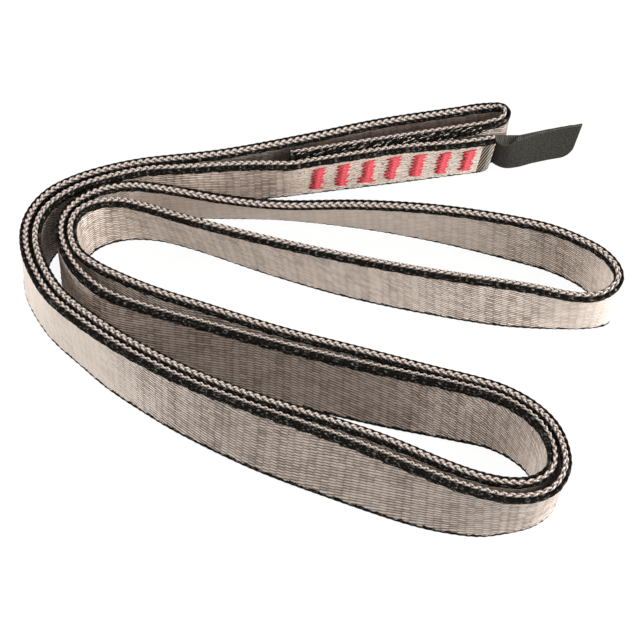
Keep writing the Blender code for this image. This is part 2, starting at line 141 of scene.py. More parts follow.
# Upper plait along the tape: distance from the hidden end in mm, offset towards the left face
# in mm, and share of its full width
PLAIT_SEATS = ((0, 0.50, 0.3), (3, 0.50, 0.62), (55, 0.50, 0.62), (75, 0.20, 1.0), (195, 0.22, 1.0),
               (240, 0.42, 0.80), (275, 0.50, 0.74), (355, 0.50, 0.74), (385, 0.30, 0.9),
               (420, 0.20, 1.0), (520, 0.22, 1.0), (560, 0.30, 0.92), (680, 0.30, 0.88),
               (710, 0.20, 1.0), (840, 0.20, 1.0), (880, 0.45, 0.75), (920, 0.60, 0.62),
               (1000, 0.60, 0.62), (1040, 0.20, 1.0), (1160, 0.22, 1.0), (1200, 0.28, 0.9),
               (1250, 0.28, 0.9), (1270, 0.42, 0.72), (1314, 0.42, 0.72))


class Selvage(Enum):
    """The tape's two edges, with the side of the face that each lies on."""

    UPPER = 1
    LOWER = -1


# Curves

def blend(first: Array, second: Array, start: float, end: float, t: Array) -> Array:
    """Straight blend of two values between two times."""
    return ((end - t) * first + (t - start) * second) / (end - start)


def smooth_curve(points: Array, step: float) -> Array:
    """Even points on a centripetal Catmull-Rom curve, as the CAD source makes it.

    Each span blends its four neighbours three times over knots that are the square roots of
    their distances apart; the dense curve is then read at equal distances.

    Args:
        points: Rows of x, y and one more value.
        step: Distance between the points of the result.

    Returns:
        Rows of x, y and the third value.
    """
    ends = np.vstack((2 * points[0] - points[1], points, 2 * points[-1] - points[-2]))
    knots = np.sqrt(np.linalg.norm(np.diff(ends[:, :2], axis=0), axis=1))
    times = np.concatenate(((0.0,), np.cumsum(knots)))
    pieces = []
    for i in range(1, len(ends) - 2):
        t = np.linspace(times[i], times[i + 1], SPAN_POINTS, endpoint=False)[:, None]
        a = [blend(ends[i + j - 1], ends[i + j], times[i + j - 1], times[i + j], t)
             for j in range(3)]
        b = [blend(a[j], a[j + 1], times[i + j - 1], times[i + j + 1], t) for j in range(2)]
        pieces.append(blend(b[0], b[1], times[i], times[i + 1], t))
    dense = np.vstack(pieces + [points[-1:]])
    reach = arc_length(dense)
    evenly = even_steps(reach[-1], step)
    return np.column_stack([np.interp(evenly, reach, dense[:, k]) for k in range(3)])


def even_steps(length: float, step: float) -> Array:
    """Even distances from 0 to a length, about a step apart."""
    return np.linspace(0.0, length, int(round(length / step)) + 1)


def arc_length(points: Array) -> Array:
    """Distance run along a line up to each of its points, seen from above."""
    steps = np.linalg.norm(np.diff(points[:, :2], axis=0), axis=1)
    return np.concatenate(((0.0,), np.cumsum(steps)))


def left_of(line: Array) -> Array:
    """Unit vector to the left of the direction of travel at each point of a line."""
    along = np.gradient(line[:, :2], axis=0)
    return np.column_stack((-along[:, 1], along[:, 0])) / np.linalg.norm(along, axis=1)[:, None]


def through_points(rows: Array, at: Array) -> Array:
    """Values between evenly spaced rows, on the cubic that passes through each of them.

    Each span is the cubic a*t^3 + b*t^2 + c*t + d whose slope at a row is half the difference of
    that row's two neighbours.

    Args:
        rows: Evenly spaced rows of values.
        at: Places to read, counted in rows.

    Returns:
        One row of values for each place.
    """
    padded = np.vstack((2 * rows[0] - rows[1], rows, 2 * rows[-1] - rows[-2]))
    span = np.clip(np.floor(at).astype(int), 0, len(rows) - 2)
    t = (at - span)[:, None]
    p, q, r, s = (padded[span + k] for k in range(4))
    return q + t / 2 * (r - p + t * (2 * p - 5 * q + 4 * r - s + t * (3 * (q - r) + s - p)))


def read_line(rows: Array, at: Array, reach: float) -> tuple[Array, Array]:
    """Places and headings on an evenly spaced line.

    Args:
        rows: Rows of x, y and the lean.
        at: Places to read, counted in rows.
        reach: How far ahead and behind the heading is taken, in rows.

    Returns:
        One row of values for each place, and the unit vectors along the line.
    """
    ahead = through_points(rows, np.minimum(at + reach, len(rows) - 1.0))
    heading = (ahead - through_points(rows, np.maximum(at - reach, 0.0)))[:, :2]
    return through_points(rows, at), heading / np.linalg.norm(heading, axis=1)[:, None]


def smooth_step(share: Array) -> Array:
    """Share held between 0 and 1 and smoothed there: 3 t^2 - 2 t^3."""
    held = np.clip(share, 0.0, 1.0)
    return held * held * (3.0 - 2.0 * held)


def corner_back(face: Array, half: float, corner: float) -> Array:
    """How far a quarter circle at the lower corner draws an end back.

    Args:
        face: Offsets up the face.
        half: Half the face's height.
        corner: The circle's radius.

    Returns:
        The distance at each offset.
    """
    low = np.clip((-face - (half - corner)) / corner, 0.0, 1.0)
    return corner * (1.0 - np.sqrt(1.0 - low ** 2))


@dataclass
class Frames:
    """Places on the tape's middle plane, with the directions along, through and up its face."""

    middle: Array
    along: Array
    through: Array
    face: Array

    def place(self, through: Array, face: Array) -> Array:
        """Points at offsets through the tape and up its face; offsets are stations by ring."""
        return (self.middle[:, None] + self.through[:, None] * through[..., None]
                + self.face[:, None] * face[..., None])


@dataclass
class TapeRoute:
    """The laid tape's route, worked out from the same stations and sizes as the CAD solid."""

    laid_length: float = 156.0 * MM
    joint_x_share: float = 0.127
    joint_y_share: float = 0.341
    joint_heading: float = math.radians(10.6)
    lean_start: float = math.radians(20.0)
    lean_end: float = math.radians(13.5)
    width: float = 20.0 * MM
    thickness: float = 2.6 * MM
    edge_radius: float = 1.1 * MM
    standing_cut: float = 0.5 * MM
    clearance: float = 0.3 * MM
    strand_clearance: float = 0.4 * MM
    joint_length: float = 55.0 * MM
    tack_count: int = 7
    tack_end_distance: float = 6.5 * MM
    tack_pad: float = 0.6 * MM
    label_ply: float = 0.3 * MM
    hinge_offset: float = 1.0 * MM
    overrun: float = 1.1 * MM
    overrun_reach: tuple[float, float] = (10.0 * MM, 4.0 * MM)
    splay: float = 0.6 * MM
    splay_lean: float = math.radians(6.0)
    splay_reach: tuple[float, float] = (30.0 * MM, 3.0 * MM)
    route_step: float = 1.0 * MM
    heading_reach: float = 0.25
    ease_rounds: int = 60
    ease_reach: float = 14.0 * MM
    ease_spread: int = 4
    line: Array = field(init=False)
    shift: Array = field(init=False)
    length: float = field(init=False)
    flat_reach: float = field(init=False)
    layer_spacing: float = field(init=False)
    tack_pitch: float = field(init=False)
    joint_middle: Array = field(init=False)
    joint_along: Array = field(init=False)
    joint_left: Array = field(init=False)

    def __post_init__(self) -> None:
        """Work out the route, and move it to where the record has the label's hinge."""
        self.flat_reach = self.width / 2 - self.edge_radius
        self.layer_spacing = self.thickness + 2 * (self.label_ply + self.clearance)
        self.tack_pitch = ((self.joint_length - 2 * self.tack_end_distance)
                           / (self.tack_count - 1))
        self.joint_middle = np.array((self.joint_x_share, self.joint_y_share)) * self.laid_length
        self.joint_along = np.array((math.cos(self.joint_heading), math.sin(self.joint_heading)))
        self.joint_left = np.array((-self.joint_along[1], self.joint_along[0]))
        self.shift = np.zeros(3)
        hinge = np.array(frame["joints"][0]["pos_m"])
        self.shift = (hinge - self.joint_frames(self.hinge_reach).middle[0]) * (1.0, 1.0, 0.0)
        self.line = self.laid_line()
        self.length = (len(self.line) - 1) * self.route_step

    @property
    def hinge_reach(self) -> Array:
        """Distance of the label's hinge from the joint's middle."""
        return np.array((self.joint_length / 2 + self.hinge_offset,))

    def middle_height(self, lean: Array) -> Array:
        """Height of the tape's middle line where its lower edge sinks by the standing cut.

        Args:
            lean: The tape's leans.

        Returns:
            The height at each.
        """
        inset = self.thickness / 2 - self.edge_radius
        rise = self.flat_reach * np.cos(lean) + inset * np.abs(np.sin(lean))
        return rise + self.edge_radius - self.standing_cut

    def joint_lean(self, reach: Array) -> Array:
        """Lean of the joint at distances from its middle."""
        return np.interp(reach, (-self.joint_length / 2, self.joint_length / 2),
                         (self.lean_start, self.lean_end))

    def joint_line(self, side: int) -> Array:
        """Stations of one layer of the joint.

        Args:
            side: +1 for the far layer, -1 for the near one.

        Returns:
            Rows of x, y and the lean.
        """
        reach = np.linspace(-self.joint_length / 2, self.joint_length / 2, 2 * self.tack_count)
        lean = self.joint_lean(reach)
        offset = side * self.layer_spacing / 2 / np.cos(lean)
        places = (self.joint_middle + offset[:, None] * self.joint_left
                  + reach[:, None] * self.joint_along)
        return np.column_stack((places, lean))

    def control_points(self) -> Array:
        """The far layer, the end fold, the rest of the route and the near layer, in order.

        Returns:
            Rows of x, y and the lean.
        """
        fold = np.array(END_FOLD_SHARES)
        reach, offset = fold[:, :2].T[:, :, None] * self.thickness
        places = (self.joint_middle + (self.joint_length / 2 + reach) * self.joint_along
                  + offset * self.joint_left)
        turn_back = np.column_stack((places, np.radians(fold[:, 2])))
        table = np.array(ROUTE_SHARES)
        rest = np.column_stack((table[:, :2] * self.laid_length, np.radians(table[:, 2])))
        return np.vstack((self.joint_line(1), turn_back, rest, self.joint_line(-1)))

    def ease_apart(self, line: Array, free: Array, room: Array) -> Array:
        """Push strands that lie closer than their rooms allow away from each other.

        Args:
            line: Points of one edge of the tape, seen from above.
            free: How far each point may move, from 0 to 1.
            room: Half the distance that each point keeps.

        Returns:
            The moved points.
        """
        eased = line.copy()
        needed = room[:, None] + room
        steps = np.arange(len(line))
        apart = np.abs(steps[:, None] - steps) * self.route_step > self.ease_reach
        kernel = np.hanning(2 * self.ease_spread + 3)[1:-1]
        kernel /= kernel.sum()
        for _ in range(self.ease_rounds):
            away = eased[:, None] - eased
            distance = np.linalg.norm(away, axis=2)
            shortfall = np.where(apart, np.clip(needed - distance, 0.0, None), 0.0)
            nearest = shortfall.argmax(axis=1)
            lack = shortfall[steps, nearest]
            close = lack > 0.0
            pairs = steps[close], nearest[close]
            push = np.zeros_like(eased)
            push[close] = away[pairs] * (lack[close] / distance[pairs] / 2)[:, None]
            push = np.column_stack([np.convolve(push[:, k], kernel, mode="same")
                                    for k in range(2)])
            eased += push * free[:, None]
        return eased

    def laid_line(self) -> Array:
        """Middle line and lean of the laid tape, at an even step, with its strands eased.

        Returns:
            Rows of x, y and the lean.
        """
        route = smooth_curve(self.control_points(), self.route_step)
        reach = arc_length(route)
        inside = np.minimum(reach, reach[-1] - reach) - self.joint_length
        free = np.clip(inside / self.ease_reach, 0.0, 1.0)
        tacked = np.clip(-inside / self.layer_spacing, 0.0, 1.0)
        room = ((self.thickness + self.strand_clearance) / 2
                + tacked * (self.clearance + self.tack_pad))
        half = left_of(route) * (self.flat_reach * np.sin(route[:, 2]))[:, None]
        lower = self.ease_apart(route[:, :2] + half, free, room)
        upper = self.ease_apart(route[:, :2] - half, free, room)
        middle = (lower + upper) / 2
        across = ((lower - upper) * left_of(middle)).sum(axis=1) / (2 * self.flat_reach)
        return np.column_stack((middle, np.arcsin(across)))

    def frames(self, along: Array) -> Frames:
        """Frames of the tape at distances from its hidden end.

        The last stations are drawn out along the tape by the overrun, times a smooth step.

        Args:
            along: The distances.

        Returns:
            The frames.
        """
        rows = along / self.length * (len(self.line) - 1)
        spots, heading = read_line(self.line, rows, self.heading_reach)
        start, full = self.overrun_reach
        drawn = self.overrun * smooth_step((along - (self.length - start)) / (start - full))
        moved = spots[:, :2] + heading * drawn[:, None]
        return self._leaning(*self._splayed(moved, heading, spots[:, 2], self.length - along))

    def joint_frames(self, reach: Array, near: bool = False) -> Frames:
        """Frames on the joint's middle plane at distances from its middle.

        Args:
            reach: The distances.
            near: Whether they follow the splayed end of the near layer.

        Returns:
            The frames.
        """
        heading = np.broadcast_to(self.joint_along, (len(reach), 2))
        spots = self.joint_middle + reach[:, None] * self.joint_along
        lean = self.joint_lean(reach)
        if near:
            return self._leaning(*self._splayed(spots, heading, lean,
                                                self.joint_length / 2 - reach))
        return self._leaning(spots, heading, lean)

    def _splayed(self, spots: Array, heading: Array, lean: Array,
                 to_end: Array) -> tuple[Array, Array, Array]:
        """Places, headings and leans, with the near layer's end opened off the far one.

        The end moves to the right and leans further, both times a smooth step towards it.

        Args:
            spots: Places, seen from above.
            heading: Unit vectors along the tape.
            lean: The leans.
            to_end: Distances to the cut end.

        Returns:
            The places, the headings and the leans.
        """
        start, full = self.splay_reach
        step = smooth_step((start - to_end) / (start - full))
        right = np.column_stack((heading[:, 1], -heading[:, 0]))
        return (spots + right * (self.splay * step)[:, None], heading,
                lean + self.splay_lean * step)

    def _leaning(self, spots: Array, heading: Array, lean: Array) -> Frames:
        """Frames from places, headings and leans: through is left turned up by the lean.

        Args:
            spots: Places, seen from above.
            heading: Unit vectors along the tape.
            lean: The leans.

        Returns:
            The frames.
        """
        zero = np.zeros(len(spots))
        up = np.array((0.0, 0.0, 1.0))
        along = np.column_stack((heading, zero))
        left = np.column_stack((-heading[:, 1], heading[:, 0], zero))
        cos, sin = np.cos(lean)[:, None], np.sin(lean)[:, None]
        middle = np.column_stack((spots, self.middle_height(lean))) + self.shift
        return Frames(middle, along, left * cos + up * sin, up * cos - left * sin)


# Meshes

@dataclass
class Shell:
    """Points, faces, map and each point's painted shade and tone of one closed surface, which may be
    joined with others.
    """

    points: Array
    quads: Array
    triangles: Array
    uvs: Array
    painted_shade_and_tone: Array

    @staticmethod
    def join(shells: list["Shell"]) -> "Shell":
        """One shell of several, with the vertex numbers of each moved past the ones before.

        Args:
            shells: The shells.

        Returns:
            The joined shell.
        """
        starts = np.cumsum([0] + [len(shell.points) for shell in shells[:-1]])
        return Shell(
            np.vstack([shell.points for shell in shells]),
            np.vstack([shell.quads + start for shell, start in zip(shells, starts)]),
            np.vstack([shell.triangles + start for shell, start in zip(shells, starts)]),
            np.vstack([shell.uvs for shell in shells]),
            np.concatenate([shell.painted_shade_and_tone for shell in shells]))


def ring_shell(rings: Array, uvs: Array, painted_shade_and_tone: Array | None = None) -> Shell:
    """Closed tube through rings of points, with a fan over each end.

    Vertex (i, j) is joined with its neighbours (i, j + 1), (i + 1, j + 1) and (i + 1, j), j
    counted round the ring, and each end ring with the mean of its points.

    Args:
        rings: Stations by ring points by 3, going round so that faces point outwards.
        uvs: Map coordinates, stations by ring points by 2.
        painted_shade_and_tone: One number for each point that its material reads as painted shade and
            tone, or None for none.

    Returns:
        The closed surface.
    """
    count, around = rings.shape[:2]
    painted_shade_and_tone = np.zeros((count, around)) if painted_shade_and_tone is None else painted_shade_and_tone
    number = np.arange(count * around).reshape(count, around)
    following = np.roll(number, -1, axis=1)
    quads = np.stack((number[:-1], following[:-1], following[1:], number[1:]), axis=-1)
    first = np.stack((following[0], number[0], np.full(around, count * around)), axis=-1)
    last = np.stack((number[-1], following[-1], np.full(around, count * around + 1)), axis=-1)
    caps = np.stack((rings[0].mean(axis=0), rings[-1].mean(axis=0)))
    cap_uvs = np.stack((uvs[0].mean(axis=0), uvs[-1].mean(axis=0)))
    cap_painted_shade_and_tone = (painted_shade_and_tone[0].mean(), painted_shade_and_tone[-1].mean())
    return Shell(np.vstack((rings.reshape(-1, 3), caps)), quads.reshape(-1, 4),
                 np.vstack((first, last)), np.vstack((uvs.reshape(-1, 2), cap_uvs)),
                 np.concatenate((painted_shade_and_tone.ravel(), cap_painted_shade_and_tone)))


def thread_shell(rings: Array, along: Array, half: float, painted_shade_and_tone: Array, mirrored: bool) -> Shell:
    """Closed surface of a thread, whose map runs along and around it.

    Args:
        rings: Stations by ring points by 3.
        along: Distances of the stations.
        half: Half the thread's width.
        painted_shade_and_tone: How near its crown each ring point is, which its material paints as
            highlight and shade.
        mirrored: Whether its rings go round the other way.

    Returns:
        The closed surface.
    """
    order = slice(None, None, -1 if mirrored else 1)
    uvs = np.stack(np.broadcast_arrays(along[:, None], THREAD_TURN * half), axis=-1)
    painted_shade_and_tone = np.broadcast_to(painted_shade_and_tone, rings.shape[:2])
    return ring_shell(rings[:, order], uvs[:, order], painted_shade_and_tone[:, order])


def linked_object(name: str, data: bpy.types.ID) -> bpy.types.Object:
    """New object of the scene.

    Args:
        name: Its name.
        data: Its mesh, camera or light.

    Returns:
        The object.
    """
    made = bpy.data.objects.new(name, data)
    bpy.context.scene.collection.objects.link(made)
    return made


def mesh_object(name: str, shell: Shell, look: bpy.types.Material) -> bpy.types.Object:
    """Object at the origin for a closed surface, with its map and material.

    Args:
        name: The piece's name.
        shell: Its surface.
        look: Its material.

    Returns:
        The linked object.
    """
    mesh = bpy.data.meshes.new(name)
    corners = np.concatenate((shell.quads.ravel(), shell.triangles.ravel())).astype(np.int32)
    sizes = np.concatenate((np.full(len(shell.quads), 4), np.full(len(shell.triangles), 3)))
    starts = (np.cumsum(sizes) - sizes).astype(np.int32)
    mesh.vertices.add(len(shell.points))
    mesh.vertices.foreach_set("co", shell.points.astype(np.float32).ravel())
    mesh.loops.add(len(corners))
    mesh.loops.foreach_set("vertex_index", corners)
    mesh.polygons.add(len(starts))
    mesh.polygons.foreach_set("loop_start", starts)
    mesh.update(calc_edges=True)
    mesh.polygons.foreach_set("use_smooth", np.arange(len(starts)) < len(shell.quads))
    layer = mesh.uv_layers.new(name="CutMap")
    layer.data.foreach_set("uv", shell.uvs[corners].astype(np.float32).ravel())
    # Each point's painted shade and tone, which the thread materials read.
    painted_shade_and_tone = mesh.attributes.new("painted_shade_and_tone", "FLOAT", "POINT")
    painted_shade_and_tone.data.foreach_set("value", shell.painted_shade_and_tone.astype(np.float32))
    mesh.validate()
    mesh.materials.append(look)
    return linked_object(name, mesh)


# Materials

@dataclass(frozen=True)
class Value:
    """Output of a shader node, which can be reckoned with like a number."""

    pen: "NodePen"
    socket: bpy.types.NodeSocket

    def __add__(self, other: object) -> "Value":
        """Sum of this and another."""
        return self.pen.math("ADD", self, other)

    def __sub__(self, other: object) -> "Value":
        """This less another."""
        return self.pen.math("SUBTRACT", self, other)

    def __rsub__(self, other: float) -> "Value":
        """A number less this."""
        return self.pen.math("SUBTRACT", other, self)

    def __mul__(self, other: object) -> "Value":
        """Product of this and another."""
        return self.pen.math("MULTIPLY", self, other)

    def __truediv__(self, other: object) -> "Value":
        """This over another."""
        return self.pen.math("DIVIDE", self, other)

    def __pow__(self, power: float) -> "Value":
        """This to a power."""
        return self.pen.math("POWER", self, power)

    def __abs__(self) -> "Value":
        """This without its sign."""
        return self.pen.math("ABSOLUTE", self)

    def apply(self, operation: str, *others: object) -> "Value":
        """Result of one math operation on this and others."""
        return self.pen.math(operation, self, *others)

    def toward(self, other: object, share: "Value") -> "Value":
        """Blend of this and another, by the other's share."""
        return self + (other - self) * share

    def ribs(self, power: float = 1.0) -> "Value":
        """Ribs one unit apart: sin(pi * this) without its sign, to a power."""
        return abs((self * math.pi).apply("SINE")) ** power

    def ramp(self, low: float, high: float, start: float = 0.0, end: float = 1.0) -> "Value":
        """Smooth step of this from one range to another.

        Args:
            low: Where the step begins.
            high: Where it ends.
            start: Its value at low.
            end: Its value at high.

        Returns:
            The stepped value.
        """
        made = self.pen.node("MapRange")
        made.interpolation_type = "SMOOTHSTEP"
        for socket, given in zip(made.inputs, (self, low, high, start, end)):
            self.pen.feed(socket, given)
        return Value(self.pen, made.outputs[0])


@dataclass(frozen=True)
class NodePen:
    """Draws nodes into one node tree."""

    tree: bpy.types.NodeTree

    def feed(self, socket: bpy.types.NodeSocket, value: object) -> None:
        """Link a socket to a value, or set it to a number, a vector or a colour.

        Args:
            socket: The socket.
            value: What it gets.
        """
        if isinstance(value, Value):
            self.tree.links.new(value.socket, socket)
        else:
            socket.default_value = value

    def feed_named(self, node: bpy.types.Node, inputs: dict[str, object]) -> None:
        """Feed a node's inputs, each named with _ for a space."""
        for name, value in inputs.items():
            self.feed(node.inputs[name.replace("_", " ")], value)

    def node(self, kind: str, **inputs: object) -> bpy.types.Node:
        """New shader node.

        Args:
            kind: Its type, without the words that all shader nodes have in front.
            inputs: What its inputs get, each named with _ for a space.

        Returns:
            The node.
        """
        made = self.tree.nodes.new(f"ShaderNode{kind}")
        self.feed_named(made, inputs)
        return made

    def value(self, kind: str, output: str | int = 0, **inputs: object) -> Value:
        """One output of a new shader node."""
        return Value(self, self.node(kind, **inputs).outputs[output])

    def math(self, operation: str, *values: object) -> Value:
        """Result of one math operation.

        Args:
            operation: Its name.
            values: Numbers, or values of other nodes.

        Returns:
            The result.
        """
        made = self.node("Math")
        made.operation = operation
        for socket, value in zip(made.inputs, values):
            self.feed(socket, value)
        return Value(self, made.outputs[0])

    def mix(self, share: Value, first: object, second: object) -> Value:
        """Colour between two colours.

        Args:
            share: The second colour's share.
            first: The first colour.
            second: The second colour.

        Returns:
            The mixed colour.
        """
        made = self.node("Mix")
        made.data_type = "RGBA"
        for place, value in ((0, share), (6, first), (7, second)):
            self.feed(made.inputs[place], value)
        return Value(self, made.outputs[2])

    def parts(self, vector: Value) -> tuple[Value, Value]:
        """First two parts of a vector."""
        split = self.node("SeparateXYZ", Vector=vector)
        return Value(self, split.outputs["X"]), Value(self, split.outputs["Y"])

    def noise(self, vector: Value, along: object, across: object, detail: float = 2.0) -> Value:
        """Smooth noise from 0 to 1.

        Args:
            vector: Where it is read.
            along: Its scale in the vector's first part.
            across: Its scale in the second part.
            detail: How many finer layers it has.

        Returns:
            The noise.
        """
        first, second = self.parts(vector)
        scaled = self.value("CombineXYZ", X=first * along, Y=second * across)
        return self.value("TexNoise", "Fac", Vector=scaled, Scale=1.0, Detail=detail)

    def group(self, tree: bpy.types.NodeTree, **inputs: object) -> dict[str, Value]:
        """Outputs of a node that stands for a group, by name.

        Args:
            tree: The group.
            inputs: What its inputs get, each named with _ for a space.

        Returns:
            The outputs.
        """
        made = self.node("Group")
        made.node_tree = tree
        self.feed_named(made, inputs)
        return {socket.name: Value(self, socket) for socket in made.outputs}

    def seen(self) -> Value:
        """1 for rays from the camera, by mirroring or through glass, and 0 for the others."""
        rays = self.node("LightPath").outputs
        kinds = [Value(self, rays[f"Is {kind} Ray"]) for kind in ("Camera", "Glossy", "Transmission")]
        return kinds[0].apply("MAXIMUM", kinds[1].apply("MAXIMUM", kinds[2]))


def new_group(name: str, numbers: dict[str, float],
              outputs: tuple[str, ...]) -> tuple[NodePen, dict[str, Value], bpy.types.Node]:
    """Empty shader group that reads a vector and some numbers.

    Args:
        name: The group's name.
        numbers: Its number inputs, with their values.
        outputs: Names of its number outputs.

    Returns:
        A pen for it, its inputs by name and its output node.
    """
    tree = bpy.data.node_groups.new(name, "ShaderNodeTree")
    tree.interface.new_socket("Vector", in_out="INPUT", socket_type="NodeSocketVector")
    for label, number in numbers.items():
        socket = tree.interface.new_socket(label, in_out="INPUT", socket_type="NodeSocketFloat")
        socket.default_value = number
    for label in outputs:
        tree.interface.new_socket(label, in_out="OUTPUT", socket_type="NodeSocketFloat")
    pen = NodePen(tree)
    given = tree.nodes.new("NodeGroupInput").outputs
    return (pen, {label: Value(pen, given[label]) for label in ("Vector", *numbers)},
            tree.nodes.new("NodeGroupOutput"))


def float_weave_group() -> bpy.types.NodeTree:
    """Rows of short slanted thread floats, in columns that are shifted against each other.

    The slant within a column and the shift from one to the next are in rows. The height of a
    float is a power of a sine across it, times a root of a sine along it that stays above a
    share at its ends, and its tone is a random number for its row and column. Each row's
    column ends are moved by a random share of a float.

    Returns:
        The group.
    """
    scatter_share, rise_power, lens_power = 0.3, 0.9, 0.5
    pen, given, out = new_group(
        "float_weave", {"Float Length": LOBE_PITCH, "Row Pitch": 0.84 * MM, "Slant": 0.0,
                        "Shift": 0.5, "End": 0.66}, ("Height", "Tone"))
    along, across = pen.parts(given["Vector"])
    level = across / given["Row Pitch"]
    chance = pen.value("TexWhiteNoise", "Value",
                       Vector=pen.value("CombineXYZ", Y=level.apply("FLOOR")))
    columns = chance * scatter_share + along / given["Float Length"]
    column, within = columns.apply("FLOOR"), columns.apply("FRACT")
    rows = level + (within * given["Slant"] + column * given["Shift"])
    rise = (rows.apply("FRACT") * math.pi).apply("SINE") ** rise_power
    lens = (within * math.pi).apply("SINE").apply("MAXIMUM", 0.0) ** lens_power
    pen.feed(out.inputs["Height"], rise * (lens * (1.0 - given["End"]) + given["End"]))
    spot = pen.value("CombineXYZ", X=column, Y=rows.apply("FLOOR"))
    pen.feed(out.inputs["Tone"], pen.value("TexWhiteNoise", "Value", Vector=spot))
    return pen.tree


def fibre_grain_group() -> bpy.types.NodeTree:
    """Fine filaments that run along a thread: a noise that is stretched along it.

    Returns:
        The group.
    """
    pen, given, out = new_group("fibre_grain", {"Along": 1500.0, "Across": 12000.0}, ("Grain",))
    pen.feed(out.inputs["Grain"], pen.noise(*given.values(), detail=3.0))
    return pen.tree


@dataclass(frozen=True)
class Canvas:
    """A new material: its pen, its shader, and the map and the painted shade and tone that its piece
    carries.
    """

    material: bpy.types.Material
    pen: NodePen
    shader: bpy.types.Node
    cut_map: Value
    painted_shade_and_tone: Value

    @staticmethod
    def blank(name: str) -> "Canvas":
        """Canvas for a new material.

        Args:
            name: The material's name.

        Returns:
            The canvas.
        """
        made = bpy.data.materials.new(name)
        made.use_nodes = True
        pen = NodePen(made.node_tree)
        cut_map, painted_shade_and_tone = pen.node("UVMap"), pen.node("Attribute")
        cut_map.uv_map = "CutMap"
        painted_shade_and_tone.attribute_name = "painted_shade_and_tone"
        return Canvas(made, pen, made.node_tree.nodes["Principled BSDF"],
                      Value(pen, cut_map.outputs["UV"]), Value(pen, painted_shade_and_tone.outputs["Fac"]))

    def dress(self, height: Value, strength: float, distance: float,
              **inputs: object) -> bpy.types.Material:
        """Feed the shader.

        Args:
            height: The height that its bump reads.
            strength: The bump's strength.
            distance: The bump's depth.
            inputs: What the shader's inputs get, each named with _ for a space.

        Returns:
            The material.
        """
        bump = self.pen.value("Bump", "Normal", Height=height, Strength=strength,
                              Distance=distance)
        self.pen.feed_named(self.shader, {"Normal": bump, **inputs})
        return self.material


def shown(red: int, green: int, blue: int) -> Colour:
    """Colour as it is seen on a screen turned into light: the inverse of the sRGB curve.

    Args:
        red: From 0 to 255, as the other two.
        green: The green part.
        blue: The blue part.

    Returns:
        The light of each from 0 to 1, and full cover.
    """
    parts = np.array((red, green, blue)) / 255.0
    light = np.where(parts <= 0.04045, parts / 12.92, ((parts + 0.055) / 1.055) ** 2.4)
    return (*(float(part) for part in light), 1.0)


